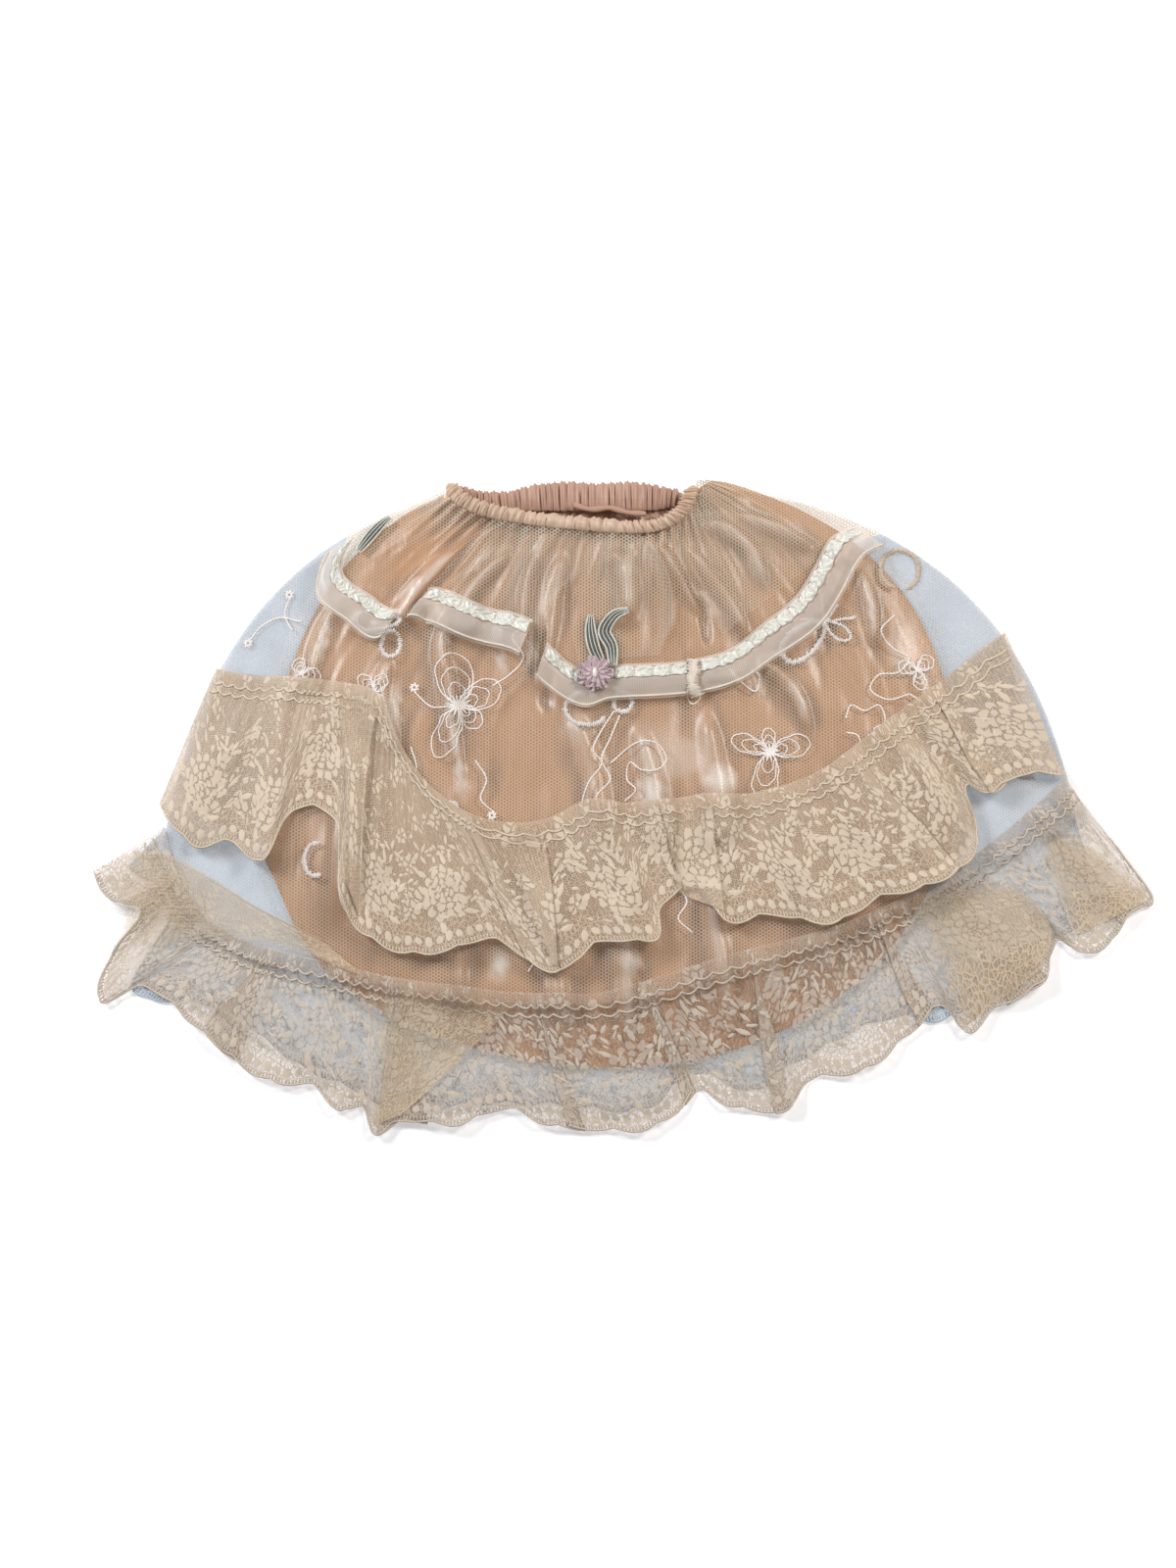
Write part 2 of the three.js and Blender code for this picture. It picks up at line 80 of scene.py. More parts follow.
# Lace tiers: each row is sewn x, sewn y, edge x, edge y, and how high the ruffle stands there
upperTier = [
    (-290, 98, -330, -1, 2), (-265, 93, -304, -31, 7), (-244, 92, -276, -29, 3),
    (-227, 89, -256, -45, 9), (-213, 88, -232, -6, 1), (-197, 86, -204, -12, 2),
    (-181, 82, -197, -74, 9), (-169, 72, -183, -95, 6), (-162, 52, -155, -109, 3),
    (-151, 31, -120, -108, 7), (-134, 10, -93, -99, 4), (-109, -8, -46, -124, 0),
    (-80, -15, -32, -114, 7), (-52, -12, -15, -102, 4), (-24, 1, 24, -100, 9),
    (4, -1, 29, -74, 2), (29, 1, 55, -60, 0), (57, 5, 73, -87, 7), (81, 5, 107, -82, 3),
    (106, 9, 148, -89, 8), (130, 17, 182, -70, 4), (151, 29, 211, -64, 8),
    (169, 43, 242, -47, 5), (183, 54, 253, -28, 9), (197, 65, 246, 13, 0),
    (214, 77, 262, 6, 8), (235, 93, 282, 19, 4), (256, 111, 305, 20, 7), (276, 125, 316, 20, 2),
]
lowerTier = [
    (-325, -17, -377, -49, 1), (-318, -42, -360, -71, 5), (-311, -58, -340, -75, 7),
    (-302, -73, -364, -113, 2), (-293, -84, -369, -143, 5), (-279, -92, -338, -131, 1),
    (-262, -100, -304, -156, 6), (-241, -106, -265, -189, 3), (-226, -110, -242, -200, 7),
    (-208, -114, -218, -201, 3), (-192, -118, -197, -220, 7), (-180, -121, -182, -215, 1),
    (-168, -124, -174, -236, 6), (-156, -126, -155, -226, 2), (-130, -130, -116, -229, 8),
    (-104, -133, -81, -217, 3), (-78, -136, -52, -229, 7), (-50, -137, -17, -232, 2),
    (-20, -137, 18, -232, 7), (4, -132, 39, -219, 3), (26, -125, 55, -205, 0),
    (48, -118, 74, -215, 6), (72, -111, 99, -219, 2), (96, -104, 118, -218, 7),
    (120, -98, 130, -198, 1), (144, -92, 172, -190, 8), (168, -83, 204, -163, 3),
    (188, -74, 227, -145, 0), (203, -67, 244, -165, 7), (217, -59, 260, -150, 4),
    (234, -49, 298, -127, 8), (250, -38, 309, -97, 0), (264, -27, 325, -107, 6),
    (278, -16, 347, -100, 3), (292, -4, 359, -79, 6), (304, 6, 377, -72, 2), (316, 18, 351, -29, 5),
]
# Where a tier doubles back on itself: row, rows it doubles back over, and 1 where its top edge faces left
upperPleats = [(5.6, 0.8, 1), (10.5, 0.45, 1), (15.6, 0.5, 1), (21.4, 0.5, -1), (25.0, 0.6, 1)]
lowerPleats = [
    (1.3, 0.8, -1), (6.2, 0.7, 1), (12.2, 1.3, 1), (16.4, 0.35, 1), (19.3, 0.5, -1), (22.4, 0.7, 1),
    (26.2, 0.45, 1), (29.3, 0.8, -1), (33.6, 0.6, 1),
]
pleatLift = 0.9  # millimetres for each layer
pleatLayers = (0, 0.4, 1.5, 1.7)  # layers beneath the cloth on its way over, back and on again
pleatEase = 0.3  # rows in which it comes down beside a pleat
backPull = 0.935  # the back tiers' edge stays this much inside the front's

# Casings: upper x, upper y, lower x, lower y at each section
frontCasing = [
    (-121, 234, -129, 228), (-111, 222, -117, 214), (-97, 216, -101, 207), (-75, 212, -79, 203),
    (-46, 208, -48, 199), (-15, 205, -15, 196), (11, 204, 13, 195), (28, 206, 34, 199),
    (38, 212, 47, 208), (43, 220, 53, 219), (46, 229, 57, 231),
]
backCasing = [
    (-119, 234, -117, 222), (-104, 229, -103, 216), (-83, 228, -82, 214), (-61, 233, -60, 214),
    (-40, 235, -40, 214), (-15, 234, -15, 214), (8, 235, 8, 214), (28, 232, 27, 215), (46, 229, 44, 219),
]


# Curves and small shapes

def smooth(t):
    # rises from 0 to 1 with level ends: 3t^2 - 2t^3
    t = np.clip(t, 0, 1)
    return t * t * (3 - 2 * t)


def bump(x):
    # a raised cosine from -1 to 1
    return np.where(np.abs(x) < 1, 0.5 + 0.5 * np.cos(np.pi * x), 0)


def gathers(phase):
    # a cosine that rises from 0 to 1 and falls back once for each whole number
    return 0.5 + 0.5 * np.cos(2 * np.pi * phase)


def curveThrough(points, t):
    # centripetal Catmull-Rom: a cubic between each two points, slopes weighed by the root of each span
    p = np.asarray(points, float)
    p = np.vstack([2 * p[0] - p[1], p, 2 * p[-1] - p[-2]])
    t = np.clip(t, 0, 1) * (len(p) - 3)
    k = np.minimum(t.astype(int), len(p) - 4)
    w = (t - k)[..., None]
    a, b, c, d = (p[k + i] for i in range(4))

    def span(u, v):
        return np.maximum(np.sqrt(np.linalg.norm(v - u, axis=-1, keepdims=True)), 1e-3)

    ab, bc, cd = span(a, b), span(b, c), span(c, d)
    start = ((b - a) / ab - (c - a) / (ab + bc) + (c - b) / bc) * bc
    end = ((c - b) / bc - (d - b) / (bc + cd) + (d - c) / cd) * bc
    return b + w * start + w**2 * (3 * (c - b) - 2 * start - end) + w**3 * (2 * (b - c) + start + end)


def between(left, right, share, down):
    # straight from a point of the left line to the point of the right line at the same share
    share = share[..., None]
    return curveThrough(left, down) * (1 - share) + curveThrough(right, down) * share


def panelAt(waist, lines, along, down):
    # each ray is the parabola through its waist, hip and hem points
    a, b, c = (curveThrough(line, along) for line in (waist, lines["hip"], lines["hem"]))
    d = down[..., None]
    return a * (1 - d) * (1 - 2 * d) + 4 * d * (1 - d) * b + d * (2 * d - 1) * c


def waistStart(along):
    # the share of the ray at which the front begins, with a little to spare under the casing
    return -0.01 - np.interp(along, np.linspace(0, 1, len(waistRise)), waistRise)


def softWaves(xy, size, seed):
    # uneven swells between -1 and 1: five cosines of about one wavelength in random directions
    rng = np.random.default_rng(seed)
    turns = rng.uniform(0, 2 * np.pi, 5)
    lengths = size * rng.uniform(0.7, 1.5, 5)
    phases = rng.uniform(0, 2 * np.pi, 5)
    ways = np.stack([np.cos(turns), np.sin(turns)], 1) * (2 * np.pi / lengths)[:, None]
    return np.cos(xy[..., :2] @ ways.T + phases).mean(-1)


def ridges(xy, folds):
    # each fold is a raised cosine across its crest line, which dies at both ends
    # a fold's row is its crest points, half width on the left and right of the crest, and height
    total = np.zeros(xy.shape[:-1])
    flat = xy[..., :2].reshape(-1, 2)
    for crest, left, right, height in folds:
        line = curveThrough(crest, np.linspace(0, 1, 8 * len(crest)))
        a, s = line[:-1], np.diff(line, axis=0)
        close = np.abs(flat - line.mean(0)).max(1) < np.ptp(line, axis=0).max() / 2 + left + right + 20
        p = flat[close][:, None, :] - a
        u = np.clip((p * s).sum(-1) / (s * s).sum(-1), 0, 1)
        away = np.linalg.norm(p - u[..., None] * s, axis=-1)
        k = away.argmin(1)
        rows = np.arange(len(k))
        side = s[k, 0] * p[rows, k, 1] - s[k, 1] * p[rows, k, 0]
        share = (k + u[rows, k]) / len(s)
        half = np.where(side > 0, left, right) * (0.5 + 0.5 * np.sin(np.pi * share))
        ends = smooth(share * 5) * smooth((1 - share) * 5)
        here = np.zeros(len(flat))
        here[close] = height * ends * bump(away[rows, k] / half)
        total += here.reshape(total.shape)
    return total


# The heap of cloth on the floor: its height in each square millimetre

heapLow = np.array([-440, -300])
heap = np.zeros((600, 880))


def sampleHeap(field, xy):
    # height between four squares, weighed by how near each is
    p = np.clip(xy[..., :2] - heapLow, 0, np.array([field.shape[1], field.shape[0]]) - 1.01)
    k = p.astype(int)
    w = p - k
    x, y = k[..., 0], k[..., 1]
    low = field[y, x] * (1 - w[..., 0]) + field[y, x + 1] * w[..., 0]
    high = field[y + 1, x] * (1 - w[..., 0]) + field[y + 1, x + 1] * w[..., 0]
    return low * (1 - w[..., 1]) + high * w[..., 1]


def rolled(field, reach, combine=np.mean):
    # combines each square with its neighbours along x, then along y
    for axis in (1, 0):
        field = combine([np.roll(field, step, axis) for step in range(-reach, reach + 1)], axis=0)
    return field


def blanket(field, reach):
    # the soft surface that a cloth takes over the heap: the highest point in reach, then averaged twice
    top = rolled(field, reach, np.max)
    for _ in range(2):
        top = rolled(top, max(reach // 2, 1))
    return top


def pileUp(grid):
    # marks a laid cloth on the heap, at points under a millimetre apart
    steps = int(np.ceil(max(np.abs(np.diff(grid[..., :2], axis=a)).max() for a in (0, 1)) / 0.9))
    for i in range(steps):
        for j in range(steps):
            u, v = i / steps, j / steps
            near = grid[:-1, :-1] * (1 - u) + grid[1:, :-1] * u
            far = grid[:-1, 1:] * (1 - u) + grid[1:, 1:] * u
            p = near * (1 - v) + far * v
            squares = (p[..., :2] - heapLow).astype(int).reshape(-1, 2)
            np.maximum.at(heap, (squares[:, 1], squares[:, 0]), p[..., 2].ravel())


def layCloth(plan, lift, reach=4, gap=0.6):
    # a cloth's height is the blanket over the heap, plus a gap, plus its own folds
    # on the bare floor it lies nearly flat, and over other cloth the gap is whole
    rest = sampleHeap(blanket(heap, reach), plan)
    z = rest + gap * (0.25 + 0.75 * smooth(rest / 2)) + lift
    grid = np.concatenate([plan[..., :2], z[..., None]], -1)
    pileUp(grid)
    return grid


def normalsOf(grid):
    # the cross product of the steps across and along the grid, turned up
    across, along = np.gradient(grid, axis=0), np.gradient(grid, axis=1)
    normal = np.cross(along, across)
    return normal / np.maximum(np.linalg.norm(normal, axis=-1, keepdims=True), 1e-9)


def shares(columns, rows):
    # the grid of shares along and down that every panel is worked out on
    return np.meshgrid(np.linspace(0, 1, columns + 1), np.linspace(0, 1, rows + 1), indexing="ij")


# Meshes

def makeMesh(name, points, faces, uvs=None, finish=None, values=None):
    # faces is a list of arrays, one for each number of corners; uvs are in millimetres, a pair for each point
    mesh = bpy.data.meshes.new(name)
    points = (np.asarray(points, float).reshape(-1, 3) + shift) / 1000
    mesh.vertices.add(len(points))
    mesh.vertices.foreach_set("co", points.astype(np.float32).ravel())
    corners = np.concatenate([np.asarray(f).ravel() for f in faces]).astype(np.int32)
    sizes = np.concatenate([np.full(len(f), np.asarray(f).shape[1]) for f in faces])
    mesh.loops.add(len(corners))
    mesh.loops.foreach_set("vertex_index", corners)
    mesh.polygons.add(len(sizes))
    mesh.polygons.foreach_set("loop_start", np.concatenate([[0], np.cumsum(sizes)[:-1]]).astype(np.int32))
    mesh.polygons.foreach_set("use_smooth", np.ones(len(sizes), bool))
    mesh.update(calc_edges=True)
    if uvs is not None:
        layer = mesh.uv_layers.new(name="cloth")
        layer.data.foreach_set("uv", np.asarray(uvs, np.float32).reshape(-1, 2)[corners].ravel())
    for key, value in (values or {}).items():
        attribute = mesh.attributes.new(key, "FLOAT", "POINT")
        attribute.data.foreach_set("value", np.asarray(value, np.float32).ravel())
    piece = bpy.data.objects.new(name, mesh)
    bpy.context.scene.collection.objects.link(piece)
    if finish:
        mesh.materials.append(finish)
    return piece


def sheetFaces(columns, rows):
    # squares that face up, for points numbered down each column
    i, j = np.meshgrid(np.arange(columns), np.arange(rows), indexing="ij")
    a = (i * (rows + 1) + j).ravel()
    return np.stack([a, a + 1, a + rows + 2, a + rows + 1], 1)


def sheetPiece(name, grid, uvs, finish, gathered=1.0, crest=0.0):
    # cover is how much denser a net looks where it is gathered, or steep: one over the height of its normal
    steep = gathered / np.clip(np.abs(normalsOf(grid)[..., 2]), 0.45, 1)
    columns, rows = grid.shape[0] - 1, grid.shape[1] - 1
    # crest carries painted light for the satin: a painted highlight above 0, painted shade below 0
    values = {"cover": steep, "crest": crest + 0 * steep}
    return makeMesh(name, grid, [sheetFaces(columns, rows)], uvs, finish, values)


def attach(piece, nodes=()):
    # every piece moves with the skirt, and may stand for pieces of the frame
    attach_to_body(piece, "root")
    if nodes:
        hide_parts(*nodes)


def dress(piece, nodes, flat):
    # like attach; flat, the size that the cloth was cut to in millimetres, is not used
    attach(piece, nodes)
    width, length = flat


# Thread work: ropes of stitches along a path, and domed patches of filled stitches

def through(points):
    # a smooth path through a few points
    return curveThrough(points, np.linspace(0, 1, 12 * len(points)))


def evenly(points, step):
    # the same path with its points a step apart
    points = np.asarray(points, float)
    run = np.concatenate([[0], np.cumsum(np.linalg.norm(np.diff(points[:, :2], axis=0), axis=1))])
    at = np.linspace(0, run[-1], max(int(run[-1] / step), 2) + 1)
    return np.stack([np.interp(at, run, points[:, k]) for k in range(points.shape[1])], 1)


def tube(line, up, width, height, sides=6, pitch=0.0, depth=0.0):
    # closed tubes along many lines at once: an oval section, swelling by depth at each stitch
    # line and up are arrays of lines by points by three; width and height are the oval's halves
    tangent = np.gradient(line, axis=1)
    tangent /= np.maximum(np.linalg.norm(tangent, axis=-1, keepdims=True), 1e-6)
    across = np.cross(tangent, up)
    across /= np.maximum(np.linalg.norm(across, axis=-1, keepdims=True), 1e-6)
    run = np.cumsum(np.linalg.norm(np.diff(line, axis=1, prepend=line[:, :1]), axis=-1), axis=1)
    swell = 1 - depth + depth * np.abs(np.sin(np.pi * run / pitch)) if pitch else np.ones(run.shape)
    turn = np.linspace(0, 2 * np.pi, sides, endpoint=False)
    wide, high = ((swell * size)[..., None, None] for size in (width, height))
    ring = across[:, :, None] * np.cos(turn)[:, None] * wide + up[:, :, None] * np.sin(turn)[:, None] * high
    points = line[:, :, None] + ring
    lines, steps = run.shape
    n, i, j = np.meshgrid(np.arange(lines), np.arange(steps - 1), np.arange(sides), indexing="ij")
    a = (n * steps + i) * sides + j
    b = (n * steps + i) * sides + (j + 1) % sides
    walls = np.stack([a, a + sides, b + sides, b], -1).reshape(-1, 4)
    first = (np.arange(lines) * steps * sides)[:, None] + np.arange(sides)
    last = first[:, ::-1] + (steps - 1) * sides
    uvs = np.broadcast_arrays(run[:, :, None], (turn * np.mean(width))[None, None, :])
    return points.reshape(-1, 3), [walls, first, last], np.stack(uvs, -1).reshape(-1, 2)


def straightUp(points):
    # the direction off the floor, once for each point
    return np.broadcast_to([0.0, 0.0, 1.0], points.shape)


def cord(line, half, high, sides=6, pitch=0.0, depth=0.0):
    # one tube along one line that lies on the cloth
    return tube(line[None], straightUp(line)[None], half, high, sides, pitch, depth)


def patches(place, centres, longs, wides, turns, thick, corners=9, pointed=0.0, ragged=0.06, seed=1):
    # filled stitches: an oval, or a leaf where pointed is 1, domed from its rim to its middle, open below
    rng = np.random.default_rng(seed)
    count = len(centres)
    angle = np.linspace(0, 2 * np.pi, corners, endpoint=False)[None, :]
    wobble = 1 + ragged * rng.uniform(-1, 1, (count, corners))
    x = np.asarray(longs)[:, None] / 2 * np.cos(angle) * wobble
    y = np.asarray(wides)[:, None] / 2 * np.sin(angle) * np.abs(np.sin(angle)) ** pointed * wobble
    x, y = (np.concatenate([v, v * 0.6, np.zeros((count, 1))], 1) for v in (x, y))
    c, s = np.cos(turns)[:, None], np.sin(turns)[:, None]
    centres = np.asarray(centres, float)
    u, v = centres[:, :1] + x * c - y * s, centres[:, 1:] + x * s + y * c
    rise = np.concatenate([np.full(corners, 0.4), np.full(corners, 0.9), [1]]) * thick
    points = place(u, v, np.broadcast_to(rise, u.shape))
    size = 2 * corners + 1
    k = np.arange(corners)
    after = (k + 1) % corners
    rim = np.stack([k, after, after + corners, k + corners], 1)
    cap = np.stack([k + corners, after + corners, np.full(corners, size - 1)], 1)
    base = (np.arange(count) * size)[:, None, None]
    faces = [(f[None] + base).reshape(-1, f.shape[1]) for f in (rim, cap)]
    return points.reshape(-1, 3), faces, np.stack([x, y], -1).reshape(-1, 2)


def filled(place, rows, thick, corners, *detail):
    # patches from rows: centre, long, wide, turn in degrees
    turns = np.radians(rows[:, 4])
    return patches(place, rows[:, :2], rows[:, 2], rows[:, 3], turns, thick, corners, *detail)


def joined(parts):
    # several results of tube or patches as one list of points, faces and uvs
    points, faces, uvs, base = [], {}, [], 0
    for some, groups, marks in parts:
        for group in groups:
            faces.setdefault(group.shape[1], []).append(group + base)
        points.append(some)
        uvs.append(marks)
        base += len(some)
    return np.concatenate(points), [np.concatenate(f) for f in faces.values()], np.concatenate(uvs)


def threadPiece(name, parts, finish):
    # one mesh of thread work, which rides with the skirt
    points, faces, uvs = joined(parts)
    piece = makeMesh(name, points, faces, uvs, finish)
    attach(piece)
    print(name, sum(len(f) * (f.shape[1] - 2) for f in faces), "triangles")
    return piece


# Materials

def toLinear(hexText):
    # sRGB to linear light: ((v + 0.055) / 1.055) to the power 2.4, or v / 12.92 near black
    parts = [int(hexText[i:i + 2], 16) / 255 for i in (1, 3, 5)]
    return (*(p / 12.92 if p <= 0.04045 else ((p + 0.055) / 1.055) ** 2.4 for p in parts), 1)


def addNode(tree, kind, inputs=None, **settings):
    # a node with its settings; an input is a value, or another node's output to link
    node = tree.nodes.new(kind)
    for key, value in settings.items():
        setattr(node, key, value)
    for key, value in (inputs or {}).items():
        if isinstance(value, bpy.types.NodeSocket):
            tree.links.new(value, node.inputs[key])
        else:
            node.inputs[key].default_value = value
    return node


def startMaterial(name, inputs):
    # a material whose shader has the given constants on its own sockets
    material = bpy.data.materials.new(name)
    material.use_nodes = True
    tree = material.node_tree
    shader = tree.nodes["Principled BSDF"]
    for key, value in inputs.items():
        shader.inputs[key].default_value = value
    cloth = addNode(tree, "ShaderNodeUVMap", uv_map="cloth").outputs[0]
    return material, tree, shader, cloth


def calculate(tree, operation, first, second=0.0, third=0.0):
    # one step of arithmetic
    node = addNode(tree, "ShaderNodeMath", {0: first, 1: second, 2: third}, operation=operation)
    return node.outputs[0]


def ramp(tree, value, low, high, first=0.0, last=1.0):
    # from first to last while the value goes from low to high, and level outside
    return addNode(tree, "ShaderNodeMapRange", {0: value, 1: low, 2: high, 3: first, 4: last}).outputs[0]


def hexNet(tree, cloth, pitch):
    # 1 on the threads of a six-sided net and 0 in its holes: three cosines at 60 degrees are least on threads
    total = None
    for turn in (0, 60, 120):
        way = 4 * math.pi / (math.sqrt(3) * pitch) * np.array(
            [math.cos(math.radians(turn)), math.sin(math.radians(turn)), 0])
        dot = addNode(tree, "ShaderNodeVectorMath", {0: cloth, 1: tuple(way)}, operation="DOT_PRODUCT")
        wave = calculate(tree, "COSINE", dot.outputs["Value"])
        total = wave if total is None else calculate(tree, "ADD", total, wave)
    return ramp(tree, total, -1.0, 0.4, 1.0, 0.0)


def mixColour(tree, share, first, second):
    # one colour shading into another
    node = addNode(tree, "ShaderNodeMix", {0: share, 6: first, 7: second}, data_type="RGBA")
    return node.outputs[2]


def noise(tree, cloth, size, detail=2.0):
    # soft patches about so many millimetres across
    return addNode(tree, "ShaderNodeTexNoise", {"Vector": cloth, "Scale": 1 / size, "Detail": detail},
                   noise_dimensions="2D").outputs[0]


def cellEdges(tree, cloth, size):
    # how far a point is from the border of its cell, where cells are so many millimetres across
    return addNode(tree, "ShaderNodeTexVoronoi", {"Vector": cloth, "Scale": 1 / size},
                   voronoi_dimensions="2D", feature="DISTANCE_TO_EDGE").outputs["Distance"]


def coverUp(tree, veil):
    # a steep stretch hides more: one minus what shows through, to the power of cover
    steep = addNode(tree, "ShaderNodeAttribute", attribute_name="cover").outputs["Fac"]
    clear = calculate(tree, "SUBTRACT", 1.0, veil)
    return calculate(tree, "SUBTRACT", 1.0, calculate(tree, "POWER", clear, steep))


def stripes(tree, cloth, pitch, way="X", **shape):
    # threads side by side, so many millimetres apart; the node's own stripes are 0.314 apart
    inputs = {"Vector": cloth, "Scale": 0.314 / pitch}
    inputs.update({key.replace("_", " "): value for key, value in shape.items()})
    return addNode(tree, "ShaderNodeTexWave", inputs, bands_direction=way).outputs["Fac"]


def relief(tree, height, strength, distance, below=None):
    # tilts the surface as if it stood out, by so many metres, on top of a coarser relief if there is one
    inputs = {"Height": height, "Strength": strength, "Distance": distance}
    if below is not None:
        inputs["Normal"] = below
    return addNode(tree, "ShaderNodeBump", inputs).outputs[0]


satinLook = {
    "colour": "#CE9A6C",
    "shade": "#B58054",
    "mottle": 45,  # millimetres from tone to tone
    "roughness": 0.4,
    "gleam": 1.0,
    "coat": 0.35,
    # the colour of the painted highlight on the satin's fold crests, then the colour of the painted shade in
    # its hollows
    "paintedHighlight": "#FDF9F4",
    "deep": "#8E6244",
    "threadPitch": 2.4,  # real threads are 0.15 mm apart, drawn coarser so that they show
    "threadRelief": 0.05,
    "crinkle": 11,
    "crinkleRelief": 0.3,
}


def satinCloth(name, look):
    # polyester satin, woven with long floats and pressed, with a painted highlight along the crest of each
    # fold and painted shade in the hollows between
    material, tree, shader, cloth = startMaterial(name, {
        "Roughness": look["roughness"],
        "Specular IOR Level": look["gleam"],
        "Coat Weight": look["coat"],
        "Coat Roughness": 0.3,
        "Sheen Weight": 0.05,
    })
    mottle = noise(tree, cloth, look["mottle"])
    colour = mixColour(tree, mottle, toLinear(look["shade"]), toLinear(look["colour"]))
    crest = addNode(tree, "ShaderNodeAttribute", attribute_name="crest").outputs["Fac"]
    # painted highlight: where the crest attribute is above 0, the colour turns towards a near-white
    colour = mixColour(tree, ramp(tree, crest, 0.0, 1.0), colour, toLinear(look["paintedHighlight"]))
    # painted shade: where the crest attribute is below 0, the colour turns towards a dark brown
    colour = mixColour(tree, ramp(tree, crest, -1.0, 0.0, 1.0, 0.0), colour, toLinear(look["deep"]))
    tree.links.new(colour, shader.inputs["Base Color"])
    stretched = addNode(tree, "ShaderNodeMapping", {0: cloth, 3: (1.0, 0.25, 1.0)})
    crinkles = noise(tree, stretched.outputs[0], look["crinkle"], 3.0)
    weave = stripes(tree, cloth, look["threadPitch"], "DIAGONAL", Distortion=0.4)
    coarse = relief(tree, crinkles, look["crinkleRelief"], 0.003)
    tree.links.new(relief(tree, weave, look["threadRelief"], 0.0004, coarse), shader.inputs["Normal"])
    return material


tulleLook = {
    "colour": "#D9CDB8",
    "roughness": 0.6,
    "pitch": 2.4,  # the real mesh is about 1.2 mm, drawn coarser so that it shows
    "least": 0.06,  # what an open hole still hides, since threads are finer than the picture shows
    "most": 0.5,
}


def tulleNet(name, look):
    # nylon bobbinet, knotted in six-sided holes: a matt veil, denser where it is steep or doubled
    material, tree, shader, cloth = startMaterial(name, {
        "Base Color": toLinear(look["colour"]),
        "Roughness": look["roughness"],
        "Specular IOR Level": 0.3,
        "Sheen Weight": 0.15,
    })
    thread = hexNet(tree, cloth, look["pitch"])
    patchy = ramp(tree, noise(tree, cloth, 30), 0.0, 1.0, 0.8, 1.2)
    span = look["most"] - look["least"]
    veil = calculate(tree, "MULTIPLY_ADD", thread, span, look["least"])
    veil = calculate(tree, "MULTIPLY", veil, patchy)
    tree.links.new(coverUp(tree, veil), shader.inputs["Alpha"])
    return material


lace = {
    # the layout that its net and its thick thread share, in millimetres
    "repeat": 62,  # one rose and one sprig
    "scallop": 31,
    "deep": 3,
    "dots": 7.75,
    "dotsAt": 9.5,  # their row lies this far from the scallops
    "dotSizes": (5.6, 7.6),  # in turn
    "stitches": 2.4,  # buttonhole stitches along the scallops
    "stitchEnds": (0.8, 4.6),
    "cords": (9, 15.5),  # how far from the sewn edge the two cords run
    "cordScallop": 13,
    "cordDeep": 2.6,
    "fillFrom": (16, 92),  # short fill stitches between these distances from the scallops
    "fillLong": (3.5, 8),
    "fillWide": (1.5, 2.4),
    "fillTurn": 50,  # degrees either way
    "gather": 10,  # from one small gather at the sewn edge to the next
    "gatherHigh": 0.45,
    "gatherDrift": 31,  # they crowd and spread as the sine of the run over this
    "ruffle": 24,
    "ruffleHigh": 0.6,
    "thick": 0.25,
    "cut": 100,  # the width of the strip
}
laceLook = {
    "colour": "#D0BBA2",
    "thread": "#DECDB6",
    "roughness": 0.7,
    "least": 0.3,
    "mesh": 0.36,
    "filled": 0.9,
    "pitch": 1.9,  # the ground's mesh is about 1.5 mm
    "web": 4.2,  # the coarse web near the scallops
    "webTop": 34,  # which reaches this far from them
    "scribble": 3.2,  # the wavy inlaid thread
    "cluster": 6.5,  # petals strewn over the ground
    "clusterPatch": 17,  # in patches of about this size
    "wobble": 2.4,  # how far the drawing strays from its layout
    "wobbleSize": 9,
    "densest": 0.96,
}
roseAt = (31, 41)  # in millimetres along the edge and from it
# Petal rings of a repeat: centre, petals, turn in radians, radius inside and outside
petalRings = [
    (roseAt, 13, 0.4, 14.0, 20.8), (roseAt, 9, 0.0, 8.6, 14.4), (roseAt, 7, 0.9, 4.4, 9.0),
    (roseAt, 5, 0.3, 1.6, 4.8), ((0, 31), 6, 0.3, 1.5, 7.2), ((3, 63), 6, 0.8, 1.6, 7.6),
    ((58, 84), 5, 0.2, 1.4, 6.4),
]


def petalRing(tree, along, fromEdge, ring):
    # petals round a centre: each is full between two radii, round at its tip, with a thin gap to the next
    (x, y), count, turn, inner, outer = ring
    half = lace["repeat"] / 2
    u = calculate(tree, "WRAP", calculate(tree, "SUBTRACT", along, x), -half, half)
    v = calculate(tree, "SUBTRACT", fromEdge, y)
    radius = calculate(tree, "SQRT", calculate(tree, "MULTIPLY_ADD", u, u, calculate(tree, "MULTIPLY", v, v)))
    angle = calculate(tree, "MULTIPLY_ADD", calculate(tree, "ARCTAN2", v, u), count / 2, turn)
    lobe = calculate(tree, "ABSOLUTE", calculate(tree, "COSINE", angle))
    tip = calculate(tree, "MULTIPLY_ADD", calculate(tree, "SQRT", lobe), 0.34 * outer, 0.66 * outer)
    full = ramp(tree, calculate(tree, "SUBTRACT", tip, radius), 0.0, 0.8)
    full = calculate(tree, "MINIMUM", full, ramp(tree, radius, inner, inner + 0.8))
    apart = calculate(tree, "MULTIPLY", lobe, calculate(tree, "MULTIPLY", radius, 2 / count))
    return calculate(tree, "MINIMUM", full, ramp(tree, apart, 0.3, 0.9))


